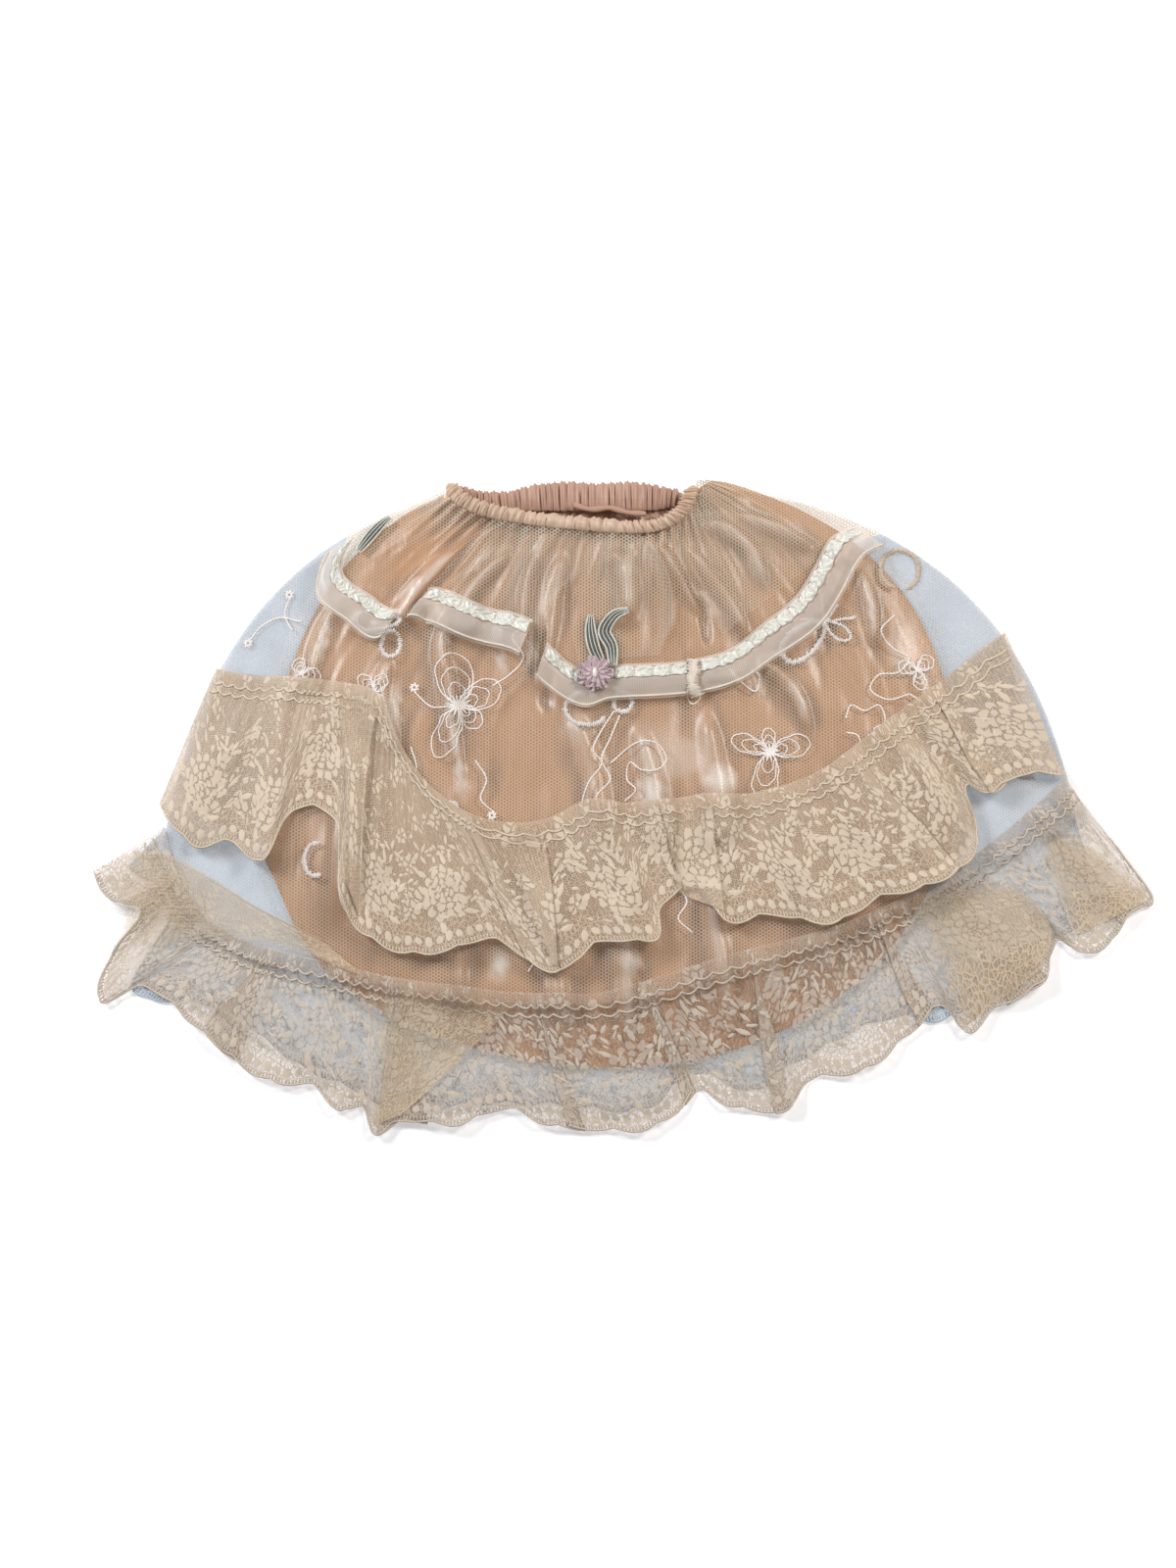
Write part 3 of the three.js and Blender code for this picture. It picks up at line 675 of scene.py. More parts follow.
def laceGround(name, look):
    # raschel lace, a knitted net with filled petals, wavy inlaid thread and a coarse web near its edge
    material, tree, shader, cloth = startMaterial(name, {
        "Roughness": look["roughness"],
        "Specular IOR Level": 0.3,
        "Sheen Weight": 0.2,
    })
    shaken = addNode(tree, "ShaderNodeTexNoise", {
        "Vector": cloth, "Scale": 1 / look["wobbleSize"], "Detail": 1.0}, noise_dimensions="2D").outputs[1]
    shaken = addNode(tree, "ShaderNodeVectorMath", {0: shaken, 1: (0.5, 0.5, 0.5)}, operation="SUBTRACT")
    shaken = addNode(tree, "ShaderNodeVectorMath", {
        0: shaken.outputs[0], 1: (look["wobble"] * 2,) * 3, 2: cloth}, operation="MULTIPLY_ADD").outputs[0]
    place = addNode(tree, "ShaderNodeSeparateXYZ", {0: shaken})
    along, fromEdge = place.outputs[0], place.outputs[1]
    motif = None
    for ring in petalRings:
        petals = petalRing(tree, along, fromEdge, ring)
        motif = petals if motif is None else calculate(tree, "MAXIMUM", motif, petals)
    cells = cellEdges(tree, shaken, look["cluster"])
    where = ramp(tree, noise(tree, cloth, look["clusterPatch"]), 0.53, 0.6)
    strewn = calculate(tree, "MULTIPLY", ramp(tree, cells, 0.06, 0.16), where)
    strewn = calculate(tree, "MULTIPLY", strewn, ramp(tree, fromEdge, 16.0, 20.0))
    motif = calculate(tree, "MAXIMUM", motif, strewn)
    colour = mixColour(tree, motif, toLinear(look["colour"]), toLinear(look["thread"]))
    tree.links.new(colour, shader.inputs["Base Color"])
    net = calculate(tree, "MULTIPLY_ADD", hexNet(tree, cloth, look["pitch"]), look["mesh"], look["least"])
    web = ramp(tree, cellEdges(tree, shaken, look["web"]), 0.05, 0.16, 0.9, 0.0)
    web = calculate(tree, "MULTIPLY", web, ramp(tree, fromEdge, look["webTop"], look["webTop"] - 12))
    lines = stripes(tree, cloth, look["scribble"], Distortion=9.0, Detail=1.0, Detail_Scale=2.2)
    ground = calculate(tree, "MAXIMUM", net, web)
    ground = calculate(tree, "MULTIPLY_ADD", ramp(tree, lines, 0.7, 0.95), 0.3, ground)
    ground = calculate(tree, "MAXIMUM", ground, calculate(tree, "MULTIPLY", motif, look["filled"]))
    ground = calculate(tree, "MINIMUM", ground, look["densest"])
    tree.links.new(coverUp(tree, ground), shader.inputs["Alpha"])
    tree.links.new(relief(tree, motif, 0.6, 0.0005), shader.inputs["Normal"])
    return material


organzaLook = {"colour": "#EDE3D7", "roughness": 0.4, "pitch": 1.3, "least": 0.42, "most": 0.58}


def organzaRibbon():
    # polyester organza, a crisp plain weave: sheer, with a faint gleam
    material, tree, shader, cloth = startMaterial("cream organza", {
        "Base Color": toLinear(organzaLook["colour"]),
        "Roughness": organzaLook["roughness"],
        "Specular IOR Level": 0.5,
        "Sheen Weight": 0.2,
    })
    weave = stripes(tree, cloth, organzaLook["pitch"])
    veil = ramp(tree, weave, 0.0, 1.0, organzaLook["least"], organzaLook["most"])
    tree.links.new(coverUp(tree, veil), shader.inputs["Alpha"])
    return material


def threadStitches(name, look):
    # twisted thread laid side by side: fine ridges across each stitch, with a silky or a matt finish
    material, tree, shader, cloth = startMaterial(name, {
        "Roughness": look["roughness"],
        "Specular IOR Level": look["gleam"],
        "Sheen Weight": 0.3,
    })
    tone = noise(tree, cloth, 6, 3.0)
    colour = mixColour(tree, tone, toLinear(look["shade"]), toLinear(look["colour"]))
    tree.links.new(colour, shader.inputs["Base Color"])
    twist = stripes(tree, cloth, look["pitch"], Distortion=1.0)
    tree.links.new(relief(tree, twist, look["relief"], 0.0005), shader.inputs["Normal"])
    return material


threadLook = {
    # colour, its shade, roughness, gleam, how far apart stitches lie in millimetres, and how deep they look
    "lace thread": ("#EADBC6", "#D9C8B0", 0.65, 0.35, 0.9, 0.4),
    "pale lace thread": ("#DDD1C1", "#CCBDAA", 0.65, 0.35, 0.9, 0.4),
    "shaded lace thread": ("#CBD5DC", "#BBC8D2", 0.65, 0.35, 0.9, 0.4),
    "rayon embroidery": ("#FFFCF8", "#F6EDE4", 0.35, 0.7, 1.2, 0.5),
    "sage satin stitch": ("#6E7168", "#4D504A", 0.42, 0.6, 0.8, 0.9),
    "pale outline stitch": ("#EFEFE4", "#D6D7CA", 0.45, 0.5, 0.8, 0.6),
    "mauve chiffon": ("#DCCACC", "#C4ACB2", 0.55, 0.4, 1.4, 0.5),
    "cream cord": ("#FBF2E4", "#EADCC8", 0.4, 0.6, 0.9, 0.6),
    "mint white satin ribbon": ("#EDEDE4", "#D3D4C8", 0.3, 0.9, 1.5, 0.15),
    "rice bead": ("#FAF6F0", "#EFE6DC", 0.18, 0.9, 3.0, 0.05),
}

print("materials")
satin = satinCloth("polyester satin", satinLook)
innerSatin = satinCloth("polyester satin, wrong side", {
    **satinLook, "colour": "#C8A48F", "shade": "#B18A77", "roughness": 0.5, "gleam": 0.6, "coat": 0,
})
casingSatin = satinCloth("polyester satin under gathered net", {
    **satinLook, "colour": "#DCC1A8", "shade": "#C2A48A", "roughness": 0.5, "gleam": 0.7, "coat": 0.1,
})
tulle = tulleNet("nylon tulle", tulleLook)
shadedTulle = tulleNet("nylon tulle, in shade", {
    **tulleLook, "colour": "#9EBCD9", "pitch": 1.5, "least": 0.46, "most": 0.58,
})
creamLace = laceGround("cream raschel lace", laceLook)
paleLace = laceGround("pale raschel lace", {
    **laceLook, "colour": "#CBBBA8", "thread": "#D6CABB", "least": 0.08, "mesh": 0.26, "filled": 0.6,
})
doubledLace = laceGround("pale raschel lace, doubled", {
    **laceLook, "colour": "#D3BFA3", "thread": "#D9C9B0", "least": 0.16, "mesh": 0.26, "filled": 0.5,
})
shadedLace = laceGround("pale raschel lace, in shade", {
    **laceLook, "colour": "#B9C8D4", "thread": "#CBD5DC", "least": 0.3, "mesh": 0.3, "filled": 0.7,
})
organza = organzaRibbon()
threadKeys = ("colour", "shade", "roughness", "gleam", "pitch", "relief")
threads = {name: threadStitches(name, dict(zip(threadKeys, row))) for name, row in threadLook.items()}


def trimDown(along):
    # the share down the ray at which the trim crosses it
    line = curveThrough(trimLine, np.linspace(0, 1, 241))
    return np.interp(along, line[:, 0], line[:, 1])


trim = {
    "band": 26,
    "ribbon": 9,
    "ray": 330,  # from waist to hem on average, which turns millimetres into shares of it
    "seam": 0.3,  # half of the gap between yoke and skirt, under the trim
}
bandShare = trim["band"] / trim["ray"]
edgeShare = trim["seam"] / trim["ray"]


def sampleGrid(grid, i, j):
    # a point between four points of a grid, weighed by how near each is
    i, j = np.clip(i, 0, grid.shape[0] - 1.001), np.clip(j, 0, grid.shape[1] - 1.001)
    a, b = i.astype(int), j.astype(int)
    s, t = (i - a)[..., None], (j - b)[..., None]
    near = grid[a, b] * (1 - s) + grid[a + 1, b] * s
    far = grid[a, b + 1] * (1 - s) + grid[a + 1, b + 1] * s
    return near * (1 - t) + far * t


def pleated(pleats, last):
    # the cloth's run through its rows, in knots: run, row with pleats, row without, layers beneath
    # the cloth runs past a pleat's place, back and on again, so that it lies three deep there
    knots = [(0, 0, 0, 0)]
    for place, width, side in pleats:
        run = knots[-1][0] + place - knots[-1][1]
        layers = pleatLayers if side > 0 else pleatLayers[::-1]
        if side < 0:
            knots.append((run - pleatEase, place - pleatEase, place - pleatEase, 0.3))
        for step, (row, layer) in enumerate(zip((place, place + width, place, place + width), layers)):
            knots.append((run + step * width, row, place + width * step / 3, layer))
        if side > 0:
            after = place + width + pleatEase
            knots.append((run + 3 * width + pleatEase, after, after, 0.4))
    knots.append((knots[-1][0] + last - knots[-1][1], last, last, 0))
    return np.array(knots, float)


def layTier(rows, columns, steps, rise, reach, gap, pleats=(), pull=1.0):
    # a ruffle runs straight from its sewn line to its edge line, which scallops: the size of a sine
    # its pleats open from the sewn line to the edge
    rows = np.array(rows, float)
    knots = pleated(pleats, len(rows) - 1)
    along, down = shares(columns, steps)
    run = along * knots[-1, 0]
    tight, loose, layer = (np.interp(run, knots[:, 0], knots[:, k]) for k in (1, 2, 3))
    opened = 0.25 + 0.75 * smooth(down * 1.3)
    at = (tight * opened + loose * (1 - opened)) / (len(rows) - 1)
    sewn = curveThrough(rows[:, :2], at)
    edge = curveThrough(np.column_stack([rows[:, 2:4] * pull, rows[:, 4]]), at)
    stands = np.maximum(edge[..., 2], 0)
    ray = edge[..., :2] - sewn
    length = np.linalg.norm(ray, axis=-1)
    hem = edge[:, -1, :2]
    run = np.concatenate([[0], np.cumsum(np.linalg.norm(np.diff(hem, axis=0), axis=1))])
    scallop = lace["deep"] * (np.abs(np.sin(np.pi * run / lace["scallop"])) - 0.5)
    stretch = 1 + scallop[:, None] / length
    plan = sewn + ray * (stretch * down)[..., None]
    waves = lace["ruffleHigh"] * softWaves(plan, lace["ruffle"], 9) * smooth(down * 2)
    small = run[:, None] / lace["gather"] + 0.9 * np.sin(run[:, None] / lace["gatherDrift"])
    waves = waves + lace["gatherHigh"] * np.cos(2 * np.pi * small) * (1 - down) ** 1.2 * smooth(down * 12)
    lift = 0.3 + rise * (stands * smooth(down * 0.6 + 0.2) + waves) + pleatLift * layer * smooth(down * 6)
    grid = layCloth(plan, lift, reach, gap)
    height = (length * stretch)[:, -1]
    fromHem = height[:, None] * (1 - down)
    uvs = np.stack([np.broadcast_to(run[:, None], fromHem.shape), fromHem], -1)
    normals = normalsOf(grid)
    normals *= np.where(normals[..., 2:] < 0, -1, 1)
    apart = np.linalg.norm(np.gradient(plan, axis=0), axis=-1)
    gathered = np.clip(np.gradient(run)[:, None] / np.maximum(apart, 0.05), 1, 2.4)
    return {"grid": grid, "normals": normals, "run": run, "ray": height, "uvs": uvs, "gathered": gathered}


def onTier(tier):
    # places a point by millimetres along the edge, from the edge, and above the cloth
    def place(u, v, rise):
        i = np.interp(u, tier["run"], np.arange(len(tier["run"])))
        down = 1 - v / np.interp(u, tier["run"], tier["ray"])
        j = np.clip(down, 0, 1) * (tier["grid"].shape[1] - 1)
        up = sampleGrid(tier["normals"], i, j)
        return sampleGrid(tier["grid"], i, j) + up * np.asarray(rise)[..., None]
    return place


def ringOf(count, centre, radius, long, wide, turned, first=0, pointed=0):
    # patches spread evenly round a centre, each turned from its own ray
    angle = first + 360 / count * np.arange(count)
    c, s = np.cos(np.radians(angle)), np.sin(np.radians(angle))
    same = np.ones(count)
    return np.stack([centre[0] + radius * c, centre[1] + radius * s, long * same, wide * same,
                     angle + turned, pointed * same], 1)


def laceRepeat():
    # one repeat, in millimetres: along, from the edge, long, wide, turn in degrees, pointed
    # leaves round the rose, a bud and sprays between, and a row of dots over the scallops
    rows = [
        ringOf(5, roseAt, 3.6, 3.2, 2.6, 0, 10),
        ringOf(6, roseAt, 25, 11, 4.4, 28, 14, 1),
        ringOf(1, (0, 31), 0, 2.6, 2.6, 0),
        ringOf(1, (3, 63), 0, 2.8, 2.8, 0),
        ringOf(4, (15, 74), 5.5, 8.5, 3.4, 10, 30, 1),
        ringOf(4, (46, 72), 5.5, 8.5, 3.4, -14, 80, 1),
        ringOf(5, (-12, 47), 5, 7.5, 3.2, 20, 60, 1),
        ringOf(3, (31, 70), 4.5, 6, 3, 40, 0, 1),
    ]
    dots = np.arange(8) * lace["dots"] + 4
    small, large = lace["dotSizes"]
    tall = np.where(np.arange(8) % 2, large, small)
    same = np.ones(8)
    rows.append(np.stack([dots, lace["dotsAt"] * same, tall, small * same, 90 * same, 0 * same], 1))
    return np.concatenate(rows)


def tierThread(tier, seed, corners=9, fill=26):
    # the lace's thick thread: its repeat along the whole edge, short fill stitches, cords and edge stitches
    rng = np.random.default_rng(seed)
    place, end = onTier(tier), tier["run"][-1]
    rows = laceRepeat()
    count = int(end / lace["repeat"]) + 1
    ranges = (
        (0, lace["repeat"]), lace["fillFrom"], lace["fillLong"], lace["fillWide"],
        (-lace["fillTurn"], lace["fillTurn"]),
    )
    short = [rng.uniform(low, high, fill * count) for low, high in ranges]
    short = np.stack([*short, np.zeros(fill * count)], 1)
    rows = np.tile(rows, (count, 1))
    rows[:, 0] += np.repeat(np.arange(count), len(rows) // count) * lace["repeat"]
    short[:, 0] += np.repeat(np.arange(count), fill) * lace["repeat"]
    rows = np.concatenate([rows, short])
    rows[:, :2] += rng.uniform(-0.5, 0.5, (len(rows), 2))
    ray = np.interp(rows[:, 0], tier["run"], tier["ray"])
    keep = (rows[:, 0] > 5) & (rows[:, 0] < end - 5) & (rows[:, 1] < ray - 20)
    rows = rows[keep]
    parts = []
    for pointed in (0, 1):
        some = rows[rows[:, 5] == pointed]
        parts.append(filled(place, some, lace["thick"], corners, pointed, 0.09, seed))

    def rope(u, fromEdge, half, pitch):
        # a cord along the lace, so far from its scallops, turned up as the cloth is halfway down
        line = place(u, fromEdge, 0.3 + 0 * u)
        column = np.interp(u, tier["run"], np.arange(len(tier["run"])))
        up = sampleGrid(tier["normals"], column, 0 * u + tier["grid"].shape[1] / 2)
        return tube(line[None], up[None], half, 0.5, 5, pitch, 0.3)

    u = np.arange(2, end - 2, 0.9)
    ray = np.interp(u, tier["run"], tier["ray"])
    hop = lace["cordDeep"] * np.abs(np.sin(np.pi * u / lace["cordScallop"]))
    for inward in lace["cords"]:
        parts.append(rope(u, ray - inward - hop, 0.9, 2.2))
    parts.append(rope(u, 0.9 + 0 * u, 0.8, 1.6))
    bars = np.arange(4, end - 4, lace["stitches"])
    ends = place(np.stack([bars, bars], 1), np.broadcast_to(lace["stitchEnds"], (len(bars), 2)), 0.25)
    parts.append(tube(ends, straightUp(ends), 0.55, 0.4, 4))
    return parts


def tierPieces(name, node, tier, finish, thread, length, restsOn, *detail):
    # a tier's cloth, from a strip so many millimetres long, and the thread work on it
    piece = sheetPiece(name, tier["grid"], tier["uvs"], finish, tier["gathered"])
    dress(piece, [node], (length, lace["cut"]))
    threadPiece(name + "Thread", tierThread(tier, *detail), threads[thread])


print("back of the skirt")
backLook = {
    "trimFlat": (560, 26),  # what each cloth is cut to in millimetres, width by length
    "skirtFlat": (640, 260),
    "yokeFlat": (460, 90),
    "satinFlat": (460, 330),
    "trimInset": 0.03,  # the trim stops this share short of each side
    "gathers": 34,
    "gatherHeight": 0.8,
    "gatherReach": 0.2,  # how far down they run, as a share of the ray
    "roll": 2.4,  # how much higher the satin stands at the waist
    "rollReach": 0.07,
}
backTiers = [
    # piece, node, rows, cloth, thread, length of the strip
    ("backUpperLace", "back_upper_lace", upperTier[::2], creamLace, "lace thread", 740),
    ("backLowerLace", "back_lower_lace", lowerTier[::2], shadedLace, "shaded lace thread", 760),
]

along, down = shares(120, 6)
at = backLook["trimInset"] + along * (1 - 2 * backLook["trimInset"])
plan = panelAt(backWaist, netLines, at, trimDown(at) + bandShare * (down - 0.5))
backTrim = sheetPiece("backTrim", layCloth(plan, 0 * along, 2, 0.2), plan, organza)
dress(backTrim, ["back_trim"], backLook["trimFlat"])

for name, node, rows, finish, thread, length in backTiers:
    tier = layTier(rows, 280, 24, 0.2, 3, 0.2, pull=backPull)
    tierPieces(name, node, tier, finish, thread, length, "back_skirt_net", 21, 6, 8)

along, down = shares(140, 70)
start = trimDown(along)
plan = panelAt(backWaist, netLines, along, start + edgeShare + down * (1 - start - edgeShare))
grid = layCloth(plan, 0.4 * softWaves(plan, 60, 3), 4, 1.4)
backSkirtNet = sheetPiece("backSkirtNet", grid, plan, shadedTulle)
dress(backSkirtNet, ["back_skirt_net"], backLook["skirtFlat"])
plan = panelAt(backWaist, netLines, along, down * (start - edgeShare))
backYokeNet = sheetPiece("backYokeNet", layCloth(plan, 0 * down, 3, 1.2), plan, tulle)
dress(backYokeNet, ["back_yoke_net"], backLook["yokeFlat"])

along, down = shares(200, 90)
plan = panelAt(backWaist, satinLines, along, 1.025 * down - 0.025)  # it starts a little above the net
uneven = backLook["gathers"] * along + 0.8 * np.sin(23 * along) + 0.5 * np.sin(61 * along)
uneven = uneven + 0.3 * np.sin(9 * down + 40 * along)
gathered = np.cos(2 * np.pi * uneven) * (1 - smooth(down / backLook["gatherReach"]))
roll = backLook["roll"] * (1 - smooth(down / backLook["rollReach"]))
lift = 1 + backLook["gatherHeight"] * gathered + roll
backSatin = sheetPiece("backSatin", layCloth(plan, lift, 4, 1.2), plan, innerSatin)
dress(backSatin, ["back_satin"], backLook["satinFlat"])


# The waist's casing: a closed tube of gathered satin round the elastic

casingLook = {
    "frontFlat": (210, 18),  # what each is cut to
    "backFlat": (175, 20),
    "gathers": 30,
    "uneven": (0.55, 1.15),  # the least and the greatest gather, as a share of the ripple
    "thickness": 3.8,
    "ripple": 2.2,
    "thickRipple": 1.3,  # how much more the gathers swell its thickness than its width
    "fine": 0.3,
    "round": 24,
    "stepsEach": 10,
    "ends": 30,  # it closes over one part in so many of its length
    "uvLong": 220,
    "uvRadius": 4,
}


def casingPiece(name, rows, base, seed, finish):
    # the section is a flat oval from upper to lower edge; each gather swells it, more at its upper edge
    rng = np.random.default_rng(seed)
    rows = np.array(rows, float)
    count, around = casingLook["gathers"], casingLook["round"]
    steps = count * casingLook["stepsEach"]
    along = np.linspace(0, 1, steps + 1)[:, None]
    turn = np.linspace(0, 2 * np.pi, around, endpoint=False)[None, :]
    upper, lower = curveThrough(rows[:, :2], along[:, 0]), curveThrough(rows[:, 2:], along[:, 0])
    middle, half = (upper + lower) / 2, np.linalg.norm(upper - lower, axis=1) / 2
    way = (upper - lower) / (2 * half[:, None])
    knots = np.linspace(0, 1, count)
    phase = count * along + 0.35 * np.interp(along, knots, rng.uniform(-1, 1, count))
    size = np.interp(along, knots, rng.uniform(*casingLook["uneven"], count))
    ripple = size * np.abs(np.cos(np.pi * phase + 0.35 * np.sin(turn))) ** 0.7
    ripple = ripple + casingLook["fine"] * np.cos(2 * np.pi * (2.37 * phase + 0.2 * np.cos(turn)))
    ends = np.sqrt(np.clip(np.minimum(along, 1 - along) * casingLook["ends"], 0.02, 1))
    reach = (half[:, None] + casingLook["ripple"] * (ripple - 0.4) * (0.75 + 0.25 * np.sin(turn))) * ends
    thick = casingLook["thickRipple"] * casingLook["ripple"] * (ripple - 0.5)
    thick = (casingLook["thickness"] / 2 + thick) * ends
    across, high = reach * np.sin(turn), thick * np.cos(turn) * np.abs(np.cos(turn)) ** 0.3
    plan = middle[:, None, :] + across[..., None] * way[:, None, :]
    z = base(plan) + high
    grid = np.concatenate([plan, z[..., None]], -1)
    i, j = np.meshgrid(np.arange(steps), np.arange(around), indexing="ij")
    a, b = (i * around + j).ravel(), (i * around + (j + 1) % around).ravel()
    faces = np.stack([a, a + around, b + around, b], 1)
    caps = np.stack([np.arange(around), steps * around + np.arange(around)[::-1]])
    uvs = np.stack(np.broadcast_arrays(along * casingLook["uvLong"], turn * casingLook["uvRadius"]), -1)
    piece = makeMesh(name, grid, [faces, caps], uvs, finish)
    pileUp(grid[:, :around // 2 + 1])
    pileUp(np.roll(grid, around // 4, axis=1)[:, :around // 2 + 1])
    return piece


def onTop(reach, rise):
    # a height function: the heap's blanket at this moment, plus a rise
    field = blanket(heap, reach)
    return lambda plan: sampleHeap(field, plan[:, plan.shape[1] // 2][:, None]) + rise


backBand = casingPiece("backCasing", backCasing, onTop(3, 2.4), 5, innerSatin)
dress(backBand, ["back_casing"], casingLook["backFlat"])

# The roll of satin along the seam below it
seamRollLook = {"path": [(-34, 217), (-22, 214), (-8, 215), (4, 212), (18, 211)], "half": 2.1, "rise": 1.2}
seamRoll = evenly(through(seamRollLook["path"]), 0.8)
seamRoll = np.column_stack([seamRoll, onTop(3, seamRollLook["rise"])(seamRoll[:, None])[:, 0]])
swell = seamRollLook["half"] + 0.3 * np.sin(np.arange(len(seamRoll)) * 0.35)
attach(makeMesh("waistSeamRoll", *cord(seamRoll, swell, 0.8 * swell, 12), innerSatin))


print("front satin")
satinFolds = [
    # crest points, half width left and right of the crest, height
    ([(-202, 150), (-218, 121), (-223, 80)], 9, 9, 4),
    ([(-165, 108), (-172, 78), (-160, 38)], 9, 12, 3.5),
    ([(-118, 150), (-129, 116), (-124, 90), (-119, 50), (-112, 10)], 7, 11, 4.5),
    ([(-112, 192), (-150, 150), (-168, 120)], 9, 12, 3.5),
    ([(-76, 186), (-106, 158), (-120, 128)], 7, 7, 4),
    ([(-62, 186), (-69, 150), (-72, 110)], 6, 7, 4),
    ([(-40, 184), (-48, 150), (-60, 60)], 9, 12, 3),
    ([(-12, 182), (2, 172), (6, 130)], 14, 12, 4),
    ([(-35, 70), (-18, 20), (-10, -40)], 12, 14, 3.5),
    ([(10, 60), (22, 14), (28, -30)], 14, 12, 4),
    ([(60, 70), (68, 20), (74, -30)], 12, 16, 4),
    ([(28, 190), (40, 168), (62, 130)], 7, 7, 3.5),
    ([(55, 205), (76, 200), (95, 184), (104, 155)], 8, 10, 4.5),
    ([(48, 188), (63, 168), (79, 145), (92, 120)], 7, 8, 4),
    ([(80, 212), (110, 202), (140, 186)], 6, 9, 4),
    ([(98, 104), (113, 94), (127, 77), (137, 45)], 6, 8, 4.5),
    ([(172, 172), (180, 145), (181, 112)], 6, 8, 4),
    ([(-190, 40), (-196, -20), (-200, -80)], 12, 12, 3),
    ([(-120, -40), (-118, -90), (-112, -150)], 10, 12, 3.5),
    ([(-50, -60), (-46, -110), (-40, -170)], 10, 12, 3.5),
    ([(0, -70), (4, -120), (6, -176)], 9, 12, 3.5),
    ([(60, -60), (70, -110), (78, -165)], 10, 12, 3.5),
    ([(120, -30), (140, -80), (150, -130)], 10, 12, 3),
    ([(46, 172), (58, 140), (62, 110)], 8, 6, -3),
    ([(-58, 140), (-60, 100), (-50, 60)], 12, 12, -2),
]
bulgesWithPaintedHighlight = [
    # where the satin swells towards the light, with a silvery painted highlight on each swell:
    # middle, half width, half height, turn, share of painted highlight, which also sets the swell's height
    (-31, 54, 16, 18, 20, 0.45), (22, 4, 17, 28, 10, 0.95), (71, 16, 17, 20, 30, 0.9),
    (36, 34, 62, 34, 0, 0.35), (200, 112, 16, 36, 12, 0.45), (-86, 104, 5, 22, 10, 0.6),
    (-52, 156, 5, 24, -14, 0.7), (-100, 178, 4, 20, -40, 0.7), (-214, 120, 7, 34, -12, 0.9),
    (-128, 116, 6, 20, -8, 0.8), (-163, 64, 8, 34, -4, 0.8), (-115, 20, 6, 26, 6, 0.75),
    (127, 74, 5, 26, 24, 0.75), (179, 140, 6, 26, 10, 0.75), (98, 172, 6, 24, 28, 0.65),
    (-60, 184, 4, 18, -20, 0.6), (4, 170, 15, 14, 0, 0.5), (-86, -117, 10, 16, 0, 0.9),
    (6, -115, 11, 18, 0, 0.8), (49, -62, 9, 16, 0, 0.75), (109, -126, 10, 24, 20, 0.6),
    (-190, -60, 14, 40, 0, 0.35), (-152, 158, 5, 30, -50, 0.6), (60, 150, 4, 26, 40, 0.6),
]
satinDrape = {
    "flat": (470, 340),
    "gathers": 30,
    "gatherHeight": 3.0,
    "gatherReach": (0.1, 0.3),  # how far down they run, as a share of the ray
    "cornerFrom": 0.6,  # share along the waist from which it bunches up, with gathers half as high
    "rest": 2.2,
    "folds": 1.45,  # how strongly the folds above stand
    "swell": 1.1,
    "wrinkleSpan": (470, 80),  # wrinkles run four times as far down as they are wide
    "wrinkles": (1.5, 0.7),  # the height of the wide ones and of the fine ones
    "deep": 0.75,  # how dark the painted shade gets in a hollow
}
along, down = shares(320, 150)
start = waistStart(along)
plan = panelAt(frontWaist, satinLines, along, start + down * (1 - start))
rng = np.random.default_rng(8)
knots = np.linspace(0, 1, satinDrape["gathers"] + 1)
strength, length, drift = (
    np.interp(along, knots, rng.uniform(low, high, len(knots)))
    for low, high in ((0.5, 1.25), satinDrape["gatherReach"], (-0.3, 0.3))
)
corner = 1 - 0.5 * smooth((along - satinDrape["cornerFrom"]) / 0.1)
tight = satinDrape["gatherHeight"] * corner * strength * gathers(satinDrape["gathers"] * along + drift)
tight = tight * (1 - smooth(down / length))
drawn = np.stack([along * satinDrape["wrinkleSpan"][0], down * satinDrape["wrinkleSpan"][1]], -1)
wide, fine = satinDrape["wrinkles"]
folds = ridges(plan, satinFolds)
lift = satinDrape["rest"] + tight + satinDrape["folds"] * folds + satinDrape["swell"] * softWaves(plan, 38, 4)
lift += wide * softWaves(drawn, 26, 14) + fine * softWaves(drawn, 11, 15)
# painted highlight along the tops of the higher folds, in patches
crest = 0.5 * smooth((folds - 1.2) / 3) * smooth(0.6 + softWaves(drawn, 30, 17))
uneven = plan + 3 * np.stack([softWaves(plan, 13, 31), softWaves(plan, 17, 32)], -1)
for x, y, wide, high, turn, paintedHighlight in bulgesWithPaintedHighlight:
    c, s = math.cos(math.radians(turn)), math.sin(math.radians(turn))
    near = (uneven - [x, y]) @ np.array([[c, -s], [s, c]]) / [wide, high]
    swell = bump(np.linalg.norm(near, axis=-1))
    # painted highlight on each swell
    crest = np.maximum(crest, paintedHighlight * swell)
    lift += 1.2 * paintedHighlight * swell
beside = rolled(lift, 8)  # a hollow is lower than the satin round it, and painted shade goes there
# painted shade: the crest attribute goes below 0 in hollows, except on painted highlights
crest -= satinDrape["deep"] * smooth((beside - lift - 0.15) / 1.3) * smooth(1 - 4 * crest)
edgeward = 1 - 0.8 * smooth(1 - np.minimum((1 - down) / 0.12, np.minimum(along, 1 - along) / 0.06))
grid = layCloth(plan, lift * edgeward, 5, 2.8 * edgeward)
frontSatin = sheetPiece("frontSatin", grid, plan, satin, 1, crest)
dress(frontSatin, ["front_satin"], satinDrape["flat"])


